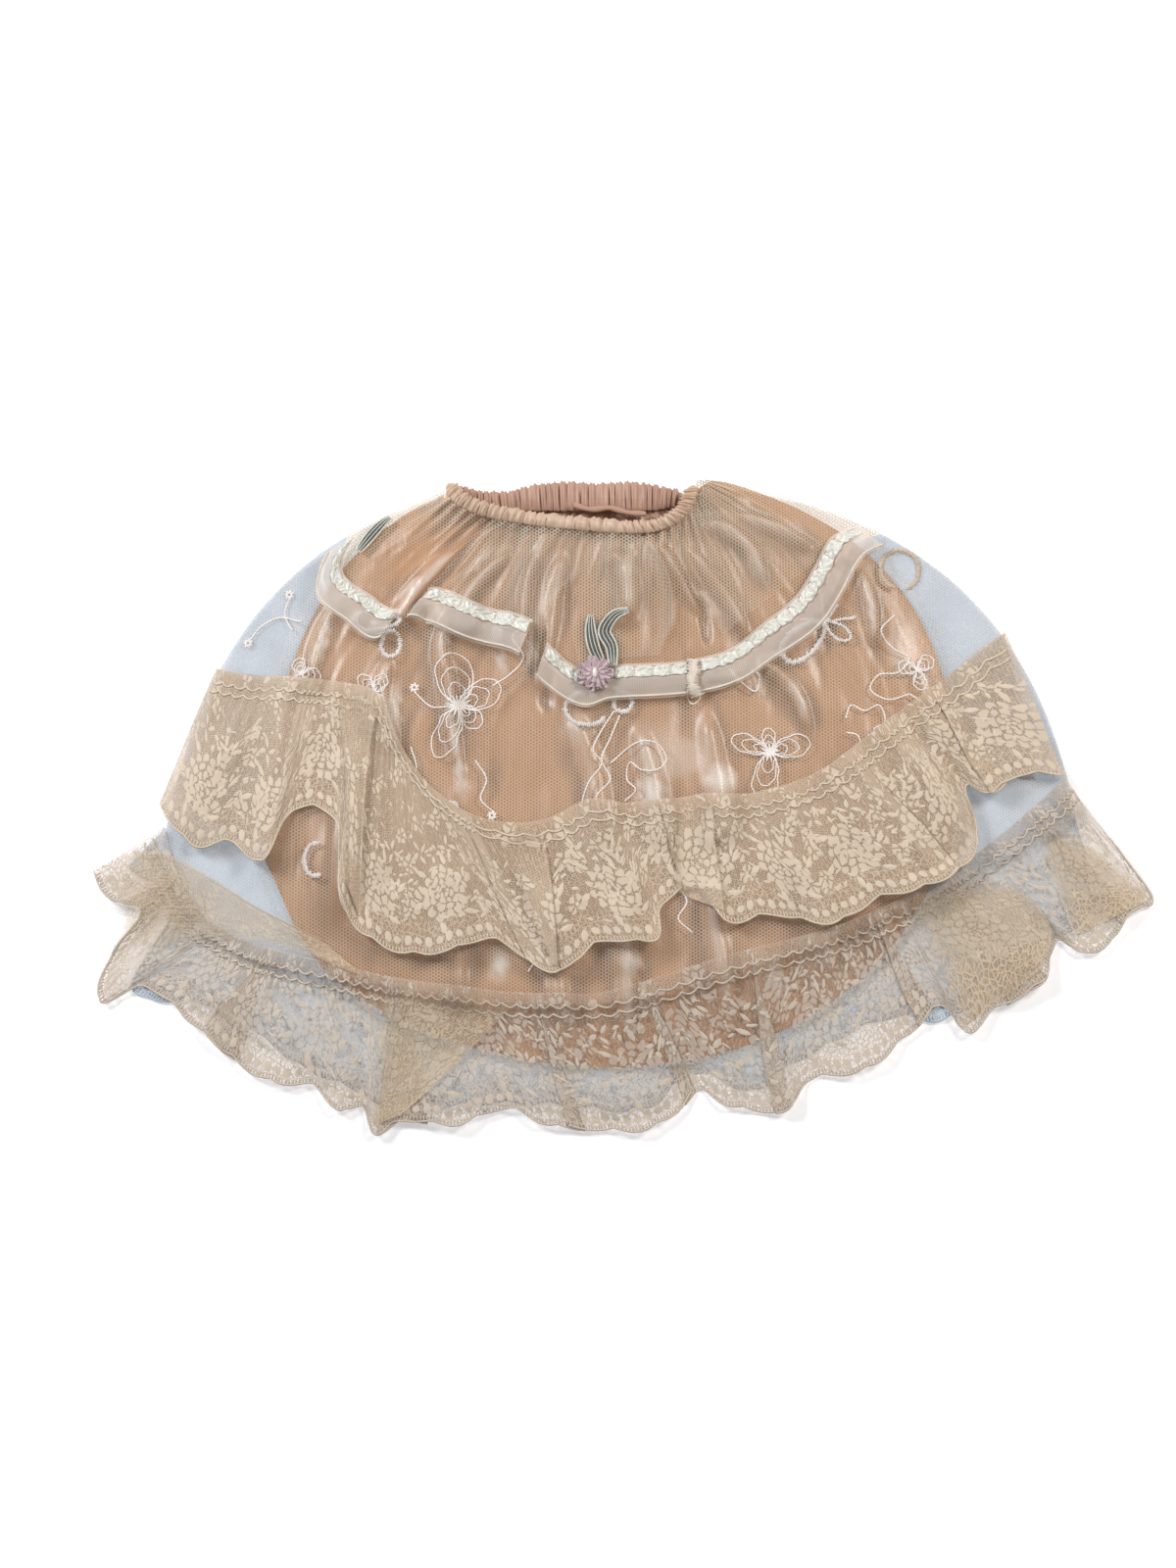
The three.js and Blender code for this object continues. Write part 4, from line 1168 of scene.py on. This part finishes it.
print("front net")
netCreases = [
    # thin fold edges of the net, which show as pale lines
    ([(-187, 173), (-160, 190), (-127, 217)], 2.2, 5, 3),
    ([(-129, 164), (-112, 182), (-85, 204)], 2.2, 4, 3),
    ([(-25, 174), (-50, 143), (-64, 112)], 4, 2, 3.2),
    ([(13, 193), (29, 176), (38, 138), (26, 106)], 5, 2, 3.6),
    ([(36, 198), (37, 181), (53, 151), (75, 120)], 5, 2, 3.6),
    ([(95, 205), (140, 190), (165, 176)], 2, 6, 2),
    ([(-113, 194), (-140, 150), (-152, 128)], 3, 3, 1.6),
    ([(-96, 190), (-104, 168), (-130, 150)], 3, 3, 1.8),
    ([(60, 92), (84, 88), (110, 72)], 4, 1.6, 1.8),
    ([(-62, 100), (-90, 60), (-96, -10)], 6, 2.5, 2.4),
    ([(-205, 150), (-228, 100), (-240, 60)], 4, 3, 2.2),
    ([(148, 120), (170, 90), (182, 60)], 3, 5, 2),
]
netDrape = {
    "yokeFlat": (470, 90),
    "skirtFlat": (640, 270),
    "flapFlat": (70, 90),
    "gathers": 36,
    "gatherHeight": 2.0,
    "bunch": 1.6,  # how much denser it looks on a gather
    "hollows": [((-135, 160), 62), ((12, 128), 30)],  # where it lies smooth and clearer: middle, radius
    "clear": 0.7,  # how much thinner it looks there
    "wrinkleSpan": (560, 70),  # long wrinkles, as in the satin
    "gap": 3.2,  # how high it floats over the satin
}
along, down = shares(300, 70)
start, end = waistStart(along), trimDown(along) - edgeShare
plan = panelAt(frontWaist, netLines, along, start + down * (end - start))
phase = netDrape["gathers"] * along + 0.3 * np.sin(17 * along) + 0.3 * np.sin(5 * down + 31 * along)
tight = netDrape["gatherHeight"] * gathers(phase) * (1 - smooth(down / (0.55 + 0.3 * np.sin(43 * along))))
lift = 0.4 + tight + ridges(plan, netCreases) + 0.5 * softWaves(plan, 30, 5)
grid = layCloth(plan, lift, 3, netDrape["gap"])
hollows = sum(
    bump(np.hypot(plan[..., 0] - x, plan[..., 1] - y) / radius) for (x, y), radius in netDrape["hollows"])
bunched = netDrape["bunch"] * gathers(phase) ** 3 * (1 - smooth(down / (0.4 + 0.3 * np.sin(29 * along))))
gathered = 1 - netDrape["clear"] * np.minimum(hollows, 1) + bunched
frontYokeNet = sheetPiece("frontYokeNet", grid, plan, tulle, gathered)
dress(frontYokeNet, ["front_yoke_net"], netDrape["yokeFlat"])
netFlaps = [
    # where the gathered yoke folds over itself: left line, right line, each from the waist down, and the
    # share from left to right at which its edge is rolled
    ([(-92, 205), (-115, 180), (-138, 155), (-143, 148)],
     [(-26, 197), (-32, 170), (-50, 143), (-61, 96)], 0.96),
    ([(-28, 197), (-35, 160), (-36, 128), (-31, 102)],
     [(13, 195), (29, 176), (38, 138), (27, 106)], 0.96),
    ([(35, 200), (38, 181), (53, 151), (73, 121)],
     [(60, 229), (100, 212), (134, 194), (151, 184)], 0.04),
]
for number, (left, right, edge) in enumerate(netFlaps):
    share, down = shares(60, 50)
    plan = between(left, right, share, down)
    tight = 0.6 * (0.5 + 0.5 * np.cos(2 * np.pi * 7 * share + number)) * (1 - smooth(down / 0.4))
    grid = layCloth(plan, 0.3 + tight + 1.4 * bump((share - edge) / 0.1), 2, 0.5)
    flap = sheetPiece(f"yokeNetFold{number + 1}", grid, plan, tulle, 0.7)
    dress(flap, [], netDrape["flapFlat"])

along, down = shares(300, 120)
start = trimDown(along)
plan = panelAt(frontWaist, netLines, along, start + edgeShare + down * (1 - start - edgeShare))
drawn = np.stack([along * netDrape["wrinkleSpan"][0], down * netDrape["wrinkleSpan"][1]], -1)
lift = 0.4 + ridges(plan, netCreases) + 0.8 * softWaves(plan, 44, 6) + 0.9 * softWaves(drawn, 22, 16)
frontSkirtNet = sheetPiece("frontSkirtNet", layCloth(plan, lift, 4, netDrape["gap"]), plan, tulle)
dress(frontSkirtNet, ["front_skirt_net"], netDrape["skirtFlat"])
netTop = heap.copy()


print("trim")
trimStretches = [
    # name, from and to as shares along the panel
    ("side", 0.012, 0.175), ("left", 0.19, 0.375), ("centre", 0.405, 0.6), ("right", 0.61, 0.985),
]
ribbonLook = {
    "middle": -0.26,  # share of the band's width, above its middle
    "puff": 14,  # millimetres from one thread loop to the next
    "high": 1.5,
    "pinch": 0.25,  # how much narrower it is under a loop
    "crease": 5.4,  # millimetres from crease to crease
    "sharp": 1.7,  # and their height
    "cord": 0.85,  # half the thickness of the cord along the band's lower edge
    "thinCord": 0.4,  # and of the one along its upper edge
    "cut": 10,
    "inset": 0.003,  # it stops this share short of the trim's ends
    "loopRows": 14,  # how many of its rows of squares a loop crosses
}


def bandPlan(first, last, along, share):
    # points on the trim, by share along it and share across its band
    at = first + along * (last - first)
    return panelAt(frontWaist, netLines, at, trimDown(at) + bandShare * share)


def ruchedRibbon(first, last, length):
    # the ribbon puffs up between thread loops, with slanting folds, and is narrower under each loop
    along, across = shares(int(length / 0.6), 16)
    across = across - 0.5
    run = along * length
    beat = run / ribbonLook["puff"] + 0.2 * np.sin(run / 23)
    wide = trim["ribbon"]
    pinched = 1 - ribbonLook["pinch"] * np.abs(np.cos(np.pi * beat)) ** 7
    pinched += 0.05 * np.sin(run * 0.9) * np.sign(across)
    plan = bandPlan(first, last, along, ribbonLook["middle"] + across * pinched * wide / trim["band"])
    slant = (0.8 - np.abs(across)) * wide * np.where(np.floor(beat) % 2, 1.5, -1.1)
    crease = 1 - np.abs((run + slant + 1.4 * np.sin(run / 5)) / ribbonLook["crease"] % 1 - 0.5) * 2
    puff = np.abs(np.sin(np.pi * beat)) ** 0.5 * (1 - (2 * across) ** 6)
    lift = 0.2 + puff * (ribbonLook["high"] * 0.6 + ribbonLook["sharp"] * crease**1.5)
    return plan, lift, np.stack([run, across * wide], -1)


for name, first, last in trimStretches:
    along, down = shares(int((last - first) * 400), 14)
    plan = bandPlan(first, last, along, down - 0.5)
    middle = plan[:, 7]
    length = np.linalg.norm(np.diff(middle, axis=0), axis=1).sum()
    bandGrid = layCloth(plan, 0.3 + 0.3 * softWaves(plan, 16, 7), 3, 2.6)
    uvs = np.stack([along * length, down * trim["band"]], -1)
    band = sheetPiece("organza_" + name, bandGrid, uvs, organza)
    dress(band, ["trim_" + name], (length, trim["band"]))
    plan, lift, uvs = ruchedRibbon(first + ribbonLook["inset"], last - ribbonLook["inset"], length - 2)
    grid = layCloth(plan, lift, 1, 0.2)
    ribbon = sheetPiece("ruched_" + name, grid, uvs, threads["mint white satin ribbon"])
    flat = (length, ribbonLook["cut"])
    dress(ribbon, ["ribbon_" + name], flat)
    parts = []
    for row, half in ((13, ribbonLook["cord"]), (1, ribbonLook["thinCord"])):
        line = evenly(bandGrid[:, row], 0.7)
        line[:, 2] += half * 0.6
        parts.append(cord(line, half, half * 0.8, 6, 1.5, 0.12))
    beats = np.arange(1, int((length - 2) / ribbonLook["puff"]) + 1) * ribbonLook["puff"] / (length - 2)
    steps = np.repeat(beats[:, None], 9, 1) * (grid.shape[0] - 1)
    loops = sampleGrid(grid, steps, np.repeat(np.linspace(0, ribbonLook["loopRows"], 9)[None], len(beats), 0))
    loops[..., 2] += 0.35
    parts.append(tube(loops, straightUp(loops), 0.5, 0.3, 5))
    threadPiece("trimCord_" + name, parts, threads["cream cord"])


print("embroidery")


def onHeap(field):
    # places a point by its place on the table and its height above the cloth laid so far
    def place(x, y, rise):
        xy = np.stack([x, y], -1)
        return np.concatenate([xy, (sampleHeap(field, xy) + rise)[..., None]], -1)
    return place


stitchLook = {"rise": 0.35, "step": 0.7, "flat": 0.7}


def stitched(path, half=0.5, pitch=2.3, depth=0.4, field=netTop):
    # a line of stitches along a path on the net
    line = evenly(path, stitchLook["step"])
    line = onHeap(field)(line[:, 0], line[:, 1], stitchLook["rise"])
    return cord(line, half, half * stitchLook["flat"], 5, pitch, depth)


def overcast(path, long, apart=1.35, seed=3, field=netTop):
    # satin stitches side by side across a path, of uneven length, slanting a little
    rng = np.random.default_rng(seed)
    line = evenly(path, apart)
    tangent = np.gradient(line, axis=0)
    tangent /= np.linalg.norm(tangent, axis=1)[:, None]
    across = np.stack([-tangent[:, 1], tangent[:, 0]], 1) + 0.25 * tangent
    line = line + 0.5 * softWaves(line, 9, seed)[:, None] * across
    reach = long / 2 * rng.uniform(0.6, 1.25, (len(line), 1))
    ends = [line - across * reach, line, line + across * reach]
    place, rises = onHeap(field), (0.2, 0.9, 0.2)
    bars = np.stack([place(end[:, 0], end[:, 1], rise) for end, rise in zip(ends, rises)], 1)
    return tube(bars, straightUp(bars), 0.62, 0.5, 4)


def teardrop(centre, turn, long, wide, waver=0.0):
    # a petal's outline, pointed at the centre: half a cosine out and back, as wide as a sine times a root
    t = np.linspace(0, 1, 60)
    x = long * (1 - np.cos(2 * np.pi * t)) / 2
    y = wide * 0.62 * np.sin(2 * np.pi * t) * np.sqrt(np.sin(np.pi * t)) + waver * np.sin(14 * np.pi * t)
    c, s = math.cos(math.radians(turn)), math.sin(math.radians(turn))
    return np.stack([centre[0] + x * c - y * s, centre[1] + x * s + y * c], 1)


def ringPath(centre, wide, high, first=0, last=360):
    # a round or an arc, between two angles
    angle = np.radians(np.linspace(first, last, 50))
    return np.stack([centre[0] + wide * np.cos(angle), centre[1] + high * np.sin(angle)], 1)


# Open flowers of nested chain-stitched petals: centre, then turn, long and wide of each petal
chainFlowers = [
    ((-116, 69), [(98, 38, 25), (28, 33, 19), (-112, 40, 17), (-42, 21, 13)]),
    ((106, 36), [(160, 29, 12), (96, 17, 9), (14, 29, 15), (-100, 35, 17)]),
    ((-176, 78), [(60, 15, 9), (130, 17, 9), (190, 15, 9), (-70, 16, 9)]),
    ((-228, 92), [(110, 12, 9), (-10, 13, 9), (-120, 12, 8)]),
    ((212, 96), [(40, 14, 10), (170, 14, 9), (-80, 15, 9)]),
]
nested = (1, 0.72, 0.44)  # the size of each line within a petal

# Thick satin-stitched loops: turn, long and wide of each, from one centre
loopFlower = ((146, 131), [(-137, 40, 19), (-36, 22, 9)])
rays = [(8, 22), (100, 20), (176, 19), (52, 15)]  # turn and length of the straight ones
loopPaths = [
    ringPath((-25, 67), 15, 12, 62, 330),
    ringPath((1, 72), 7, 7),
    ringPath((-165, 114), 7, 9),
    teardrop((-158, 130), 178, 34, 13),
    ringPath((-122, -6), 6, 5, 20, 300),
    ringPath((-216, -42), 9, 12, 80, 290),
]
vines = [
    # paths of chain stitch
    [(-116, 69), (-134, 68), (-148, 80)],
    [(-92, 84), (-80, 92), (-70, 104), (-78, 118), (-70, 126)],
    [(-5, 66), (-15, 50), (-20, 36), (-14, 28), (-24, 12), (-28, -6), (-20, -20), (-30, -34)],
    [(-1, 63), (-8, 46), (-14, 30), (-8, 16), (-18, 2), (-12, -14)],
    [(-8, 28), (4, 38), (16, 43), (27, 40), (32, 30), (25, 22), (14, 22), (6, 28), (4, 16), (10, 8), (2, 0)],
    [(196, 136), (186, 124), (194, 112), (206, 104), (198, 94), (184, 92), (178, 82), (190, 74), (206, 78)],
    [(206, 78), (216, 70), (208, 60), (220, 52)],
    [(160, 60), (164, 70), (174, 66), (184, 70), (188, 58),
     (180, 52), (184, 44), (172, 40), (168, 48), (160, 50)],
    [(70, 104), (84, 88), (96, 80), (98, 92), (92, 96)],
    [(-239, 150), (-242, 138), (-236, 126)],
    [(-268, 118), (-258, 130), (-244, 136), (-230, 132)],
    [(-162, 123), (-176, 122), (-189, 130), (-186, 140)],
    [(-150, 40), (-146, 24), (-152, 12), (-144, 2), (-150, -10)],
    [(-104, 30), (-96, 16), (-100, 2), (-90, -8)],
    [(140, 8), (150, 20), (162, 14), (172, 24), (168, 34)],
    [(-196, 60), (-188, 48), (-196, 36), (-190, 24)],
    [(232, 60), (224, 48), (234, 38), (228, 26)],
    [(40, -60), (46, -72), (40, -84), (50, -94)],
    [(-70, -72), (-62, -84), (-68, -96), (-58, -108), (-66, -122)],
]
# Small balls of crossed stitches, at the vines' ends
balls = [(-148, 83), (-239, 153), (-268, 117), (-70, 128), (220, 50), (-92, -10)]

parts = []
for centre, petals in chainFlowers:
    for number, (turn, long, wide) in enumerate(petals):
        for size in nested:
            path = teardrop(centre, turn, long * size, wide * size, 0.4)
            path = path + 0.7 * np.stack([softWaves(path, 11, number), softWaves(path, 11, number + 9)], 1)
            parts.append(stitched(path, 0.66 if size == 1 else 0.56))
    full = min(petals[0][1] / 36, 1)
    for count, out, long, first in ((15, 4.6, 9.5, 7), (13, 3.4, 6.5, 20)):
        hub = ringOf(int(count * full), centre, out * full, long * full, 1.3, 0, first)
        hub[:, :3] *= 1 + np.outer(np.sin(hub[:, 4] * 2.3), [0, 0, 0.25])
        parts.append(filled(onHeap(netTop + 0.5), hub, 0.5, 6))
centre, petals = loopFlower
for turn, long, wide in petals:
    parts.append(overcast(teardrop(centre, turn, long, wide), 4.4 if long > 30 else 2.6))
for turn, long in rays:
    tip = (centre[0] + long * math.cos(math.radians(turn)), centre[1] + long * math.sin(math.radians(turn)))
    parts.append(overcast([centre, tip], 2.6))
for path in loopPaths:
    parts.append(overcast(path, 3.8))
for points in vines:
    parts.append(stitched(through(points), 0.8, 2.4, 0.5))
for centre in balls:
    hub = ringOf(7, centre, 1.8, 5.5, 1.6, 60)
    parts.append(filled(onHeap(netTop), hub, 1.0, 6))
threadPiece("embroidery", parts, threads["rayon embroidery"])
tuck = [
    # the tuck that hides the join of the trim's centre and right stretches
    overcast([(51, 102), (52, 92), (50, 84), (55, 76)], 8, 0.55, 5, blanket(heap, 3)),
    stitched(through([(50, 84), (47, 77), (51, 71), (56, 75), (54, 84)]), 0.8, field=heap),
]
threadPiece("trimTuck", tuck, threads["cream cord"])
ring = overcast(ringPath((201, 171), 14, 15, -70, 250), 3.6)
threadPiece("beigeRing", [ring], threads["lace thread"])

frontBand = casingPiece("frontCasing", frontCasing, onTop(7, -0.7), 6, casingSatin)
dress(frontBand, ["front_casing"], casingLook["frontFlat"])


print("front lace")
laceFlaps = {
    # where a tier lies doubled: left line, right line, each from above down, and its flat size
    "frontLowerLace": [
        ([(204, -58), (207, -85), (221, -109), (242, -160)],
         [(263, -55), (289, -69), (304, -92), (296, -119)], (75, 90)),
        ([(297, -17), (302, -40), (311, -68), (320, -96)],
         [(326, -24), (346, -42), (362, -58), (371, -71)], (45, 75)),
        ([(-171, -122), (-171, -155), (-172, -198), (-175, -230)],
         [(-70, -140), (-96, -165), (-124, -195), (-155, -222)], (60, 110)),
        ([(-365, -125), (-323, -101), (-276, -99), (-234, -106), (-180, -126)],
         [(-372, -50), (-335, -34), (-300, -48), (-262, -72), (-213, -98)], (45, 200)),
    ],
    "frontUpperLace": [
        ([(-92, -26), (-75, -56), (-62, -82), (-49, -117)],
         [(-57, -16), (-50, -56), (-47, -90), (-45, -119)], (22, 100)),
        ([(38, 2), (38, -30), (40, -60), (41, -66)],
         [(64, 2), (66, -30), (70, -60), (72, -80)], (28, 78)),
        ([(-203, 86), (-199, 50), (-194, 0), (-193, -62)],
         [(-172, 74), (-178, 40), (-182, -10), (-184, -85)], (24, 150)),
    ],
}
frontTiers = [
    # piece, node, cloth, its doubled parts, thread, rows, columns of squares, pleats, length of the strip
    ("frontLowerLace", "front_lower_lace", paleLace, doubledLace, "pale lace thread",
     lowerTier, 760, lowerPleats, 1000),
    ("frontUpperLace", "front_upper_lace", creamLace, creamLace, "lace thread",
     upperTier, 600, upperPleats, 800),
]
for name, node, finish, foldFinish, thread, rows, columns, pleats, length in frontTiers:
    tier = layTier(rows, columns, 40, 1.0, 3, 0.8, pleats)
    tierPieces(name, node, tier, finish, thread, length, "front_skirt_net", 31)
    for number, (left, right, size) in enumerate(laceFlaps[name]):
        share, down = shares(50, 50)
        plan = between(left, right, share, down)
        rolledEdge = bump((share - 0.03) / 0.08) + bump((share - 0.97) / 0.08)
        # it slides under at two sides, and fades there
        fading = 1.5 * smooth(down / 0.3) * (0.25 + 0.75 * smooth(share / 0.3))
        lift = 0.3 + 0.5 * softWaves(plan, 22, number) + 0.7 * rolledEdge
        uvs = np.stack([17 * number + share * size[0], size[1] * (1 - down)], -1)
        grid = layCloth(plan, lift, 2, 0.5)
        flap = sheetPiece(f"{name}Fold{number + 1}", grid, uvs, foldFinish, fading)
        dress(flap, [], size)


print("applique")
leafLook = {
    "high": 1.5,
    "outline": 0.95,
    "rib": 0.45,
    "ribAt": 0.33,  # share of the half width
    "tip": 0.12,  # as a share of its full width
}
leaves = [
    # node, middle line from tip to foot, half width in the middle
    ("leaf_straight", [(-22, 136), (-22, 124), (-19, 110), (-13, 98)], 3.9),
    ("leaf_curved", [(5, 138), (-5, 134), (-12, 124), (-7, 112), (-6, 98)], 4.1),
    ("leaf_side", [(-167, 209), (-178, 198), (-189, 184)], 3.4),
]


def leafPiece(name, points, half):
    # satin stitch: an oval section along the middle line, narrow at its tip, full below
    along = np.linspace(0, 1, 60)
    line = curveThrough(points, along)
    under = blanket(heap, 3)
    line = np.concatenate([line, (sampleHeap(under, line) + 0.7)[:, None]], 1)
    fullness = np.sin(np.pi * (0.04 + 0.82 * along)) ** 0.7
    width = half * (leafLook["tip"] + (1 - leafLook["tip"]) * fullness)
    fill = cord(line, width, leafLook["high"] * (width / half), 18)
    piece = threadPiece(name + "Fill", [fill], threads["sage satin stitch"])
    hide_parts(name)
    tangent = np.gradient(line, axis=0)
    across = np.cross(tangent, straightUp(line))
    across /= np.linalg.norm(across, axis=1)[:, None]
    rim = np.concatenate([line + across * width[:, None], (line - across * width[:, None])[::-1]])
    edges = [(rim, leafLook["outline"], 0.2)]
    for side in (-leafLook["ribAt"], leafLook["ribAt"]):
        edges.append((line + across * width[:, None] * side, leafLook["rib"], 1.3))
    parts = []
    for path, size, rise in edges:
        parts.append(cord(evenly(path, 0.5) + [0, 0, rise], size, size * 0.8, 6, 1.3, 0.3))
    threadPiece(name + "Outline", parts, threads["pale outline stitch"])
    pileUp(np.stack([line - across * half * 0.8, line, line + across * half * 0.8], 1) + [0, 0, 1.2])


for name, points, half in leaves:
    leafPiece(name, points, half)

flowerLook = {
    # rounds of chiffon: radius, turn in radians, height, waves of the rim
    "rounds": [(14, 0, 1.6, 16), (12.04, 1.4, 2.9, 13), (9, 2.6, 4.0, 11)],
    "petals": 7,
    "ruffle": 1.7,
    "spokes": 168,
    "rings": 10,
    "beadLong": 3.7,
    "beadHalf": 1.7,
    "beadHeight": 5.6,
}


def petalLayer(radius, turn, base, waves):
    # a ruffled round: its rim waves in and out by petal, and up and down by a faster cosine
    spokes, rings = flowerLook["spokes"], flowerLook["rings"]
    angle = np.linspace(0, 2 * np.pi, spokes, endpoint=False)[:, None]
    out = np.linspace(0.12, 1, rings + 1)[None, :]
    rim = 0.88 + 0.09 * np.cos(flowerLook["petals"] * angle + turn) + 0.04 * np.cos(23 * angle + turn)
    r = radius * rim * out
    ruffle = flowerLook["ruffle"] * out**2 * np.cos(waves * angle + 2 * turn + 2 * out)
    z = base + ruffle + 0.8 * out * (1 - out)
    points = np.stack([flowerAt[0] + r * np.cos(angle), flowerAt[1] + r * np.sin(angle), z], -1)
    i, j = np.meshgrid(np.arange(spokes), np.arange(rings), indexing="ij")
    after = (i + 1) % spokes
    a, b = i * (rings + 1) + j, after * (rings + 1) + j
    walls = np.stack([a, a + 1, b + 1, b], -1).reshape(-1, 4)
    hub = (np.arange(spokes) * (rings + 1))[None, :]
    uvs = np.stack(np.broadcast_arrays(r, angle * radius), -1)
    return points.reshape(-1, 3), [walls, hub], uvs.reshape(-1, 2)


flowerPlan = np.array([[flowerAt]], float)
base = float(sampleHeap(blanket(heap, 8), flowerPlan)[0, 0])
layers = []
for radius, turn, high, waves in flowerLook["rounds"]:
    layers.append(petalLayer(radius, turn, base + high, waves))
flower = threadPiece("flowerPetals", layers, threads["mauve chiffon"])
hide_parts("flower")
t = np.linspace(-0.985, 0.985, 25)  # short of the tips, where the section would vanish
line = np.stack([
    flowerAt[0] + 0 * t,
    flowerAt[1] + flowerLook["beadLong"] * t,
    base + flowerLook["beadHeight"] + 0 * t,
], 1)
fat = flowerLook["beadHalf"] * np.sqrt(1 - t**2)
bead = threadPiece("riceBead", [cord(line, fat, fat, 16)], threads["rice bead"])
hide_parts("pearl")


print("floor, camera and lights")
stageLook = {
    "floor": "#F4F4F6",
    "floorShade": "#F1F1F3",
    "sky": "#F2F5FB",
    "floorGlow": 0.3,  # a white sheet lit from below, so that the cloth can stay darker than it
    "world": 0.14,  # how bright the sky is
    "lens": 85,
    "sensor": 36,
    "elevation": 80,
    "acrossFrame": 1.12,  # metres of table across the picture's longer side
    "floorSide": 8000,
    "sheerLayers": 20,  # how many sheer layers a ray of light may pass
}
frameCentre = (-23.8, 14.9)  # the table point in the middle of the picture

floorMaterial, tree, shader, _ = startMaterial("white paper sweep", {
    "Roughness": 0.9,
    "Emission Color": (1, 1, 1, 1),
    "Emission Strength": stageLook["floorGlow"],
})
tablePlace = addNode(tree, "ShaderNodeTexCoord").outputs["Object"]
paper = addNode(tree, "ShaderNodeTexNoise", {"Vector": tablePlace, "Scale": 400.0}).outputs[0]
paperColour = mixColour(tree, paper, toLinear(stageLook["floorShade"]), toLinear(stageLook["floor"]))
tree.links.new(paperColour, shader.inputs["Base Color"])
side = stageLook["floorSide"]
corners = [(x, y, -0.5) for x, y in ((-side, -side), (side, -side), (side, side), (-side, side))]
floor = makeMesh("floor", corners, [np.array([[0, 1, 2, 3]])], finish=floorMaterial)

target = (np.array([*frameCentre, 0]) + shift) / 1000
distance = stageLook["acrossFrame"] * stageLook["lens"] / stageLook["sensor"]
tilt = math.radians(stageLook["elevation"])
cameraData = bpy.data.cameras.new("camera")
cameraData.lens = stageLook["lens"]
cameraData.sensor_width = stageLook["sensor"]
camera = bpy.data.objects.new("camera", cameraData)
camera.location = target + distance * np.array([0, -math.cos(tilt), math.sin(tilt)])
camera.rotation_euler = (math.pi / 2 - tilt, 0, 0)
bpy.context.scene.collection.objects.link(camera)
bpy.context.scene.camera = camera

lamps = [
    # place in metres, side in metres, watts, colour
    ((-1.5, 0.9, 1.3), 0.6, 34, "#FBFBFF"),
    ((1.3, 0.8, 1.5), 0.6, 26, "#FFF8F2"),
    ((0.1, -1.6, 1.6), 1.2, 7, "#FFFFFF"),
]
for place, size, power, colour in lamps:
    light = bpy.data.lights.new("softbox", "AREA")
    light.color = toLinear(colour)[:3]
    light.size = size
    light.energy = power
    lamp = bpy.data.objects.new("softbox", light)
    lamp.location = place
    away = -np.array(place)
    yaw = math.atan2(away[1], away[0]) - math.pi / 2
    lamp.rotation_euler = (math.atan2(math.hypot(away[0], away[1]), -away[2]), 0, yaw)
    bpy.context.scene.collection.objects.link(lamp)

world = bpy.data.worlds.new("studio")
world.use_nodes = True
background = world.node_tree.nodes["Background"]
background.inputs["Color"].default_value = toLinear(stageLook["sky"])
background.inputs["Strength"].default_value = stageLook["world"]
bpy.context.scene.world = world
bpy.context.scene.view_settings.view_transform = "Standard"
bpy.context.scene.cycles.transparent_max_bounces = stageLook["sheerLayers"]
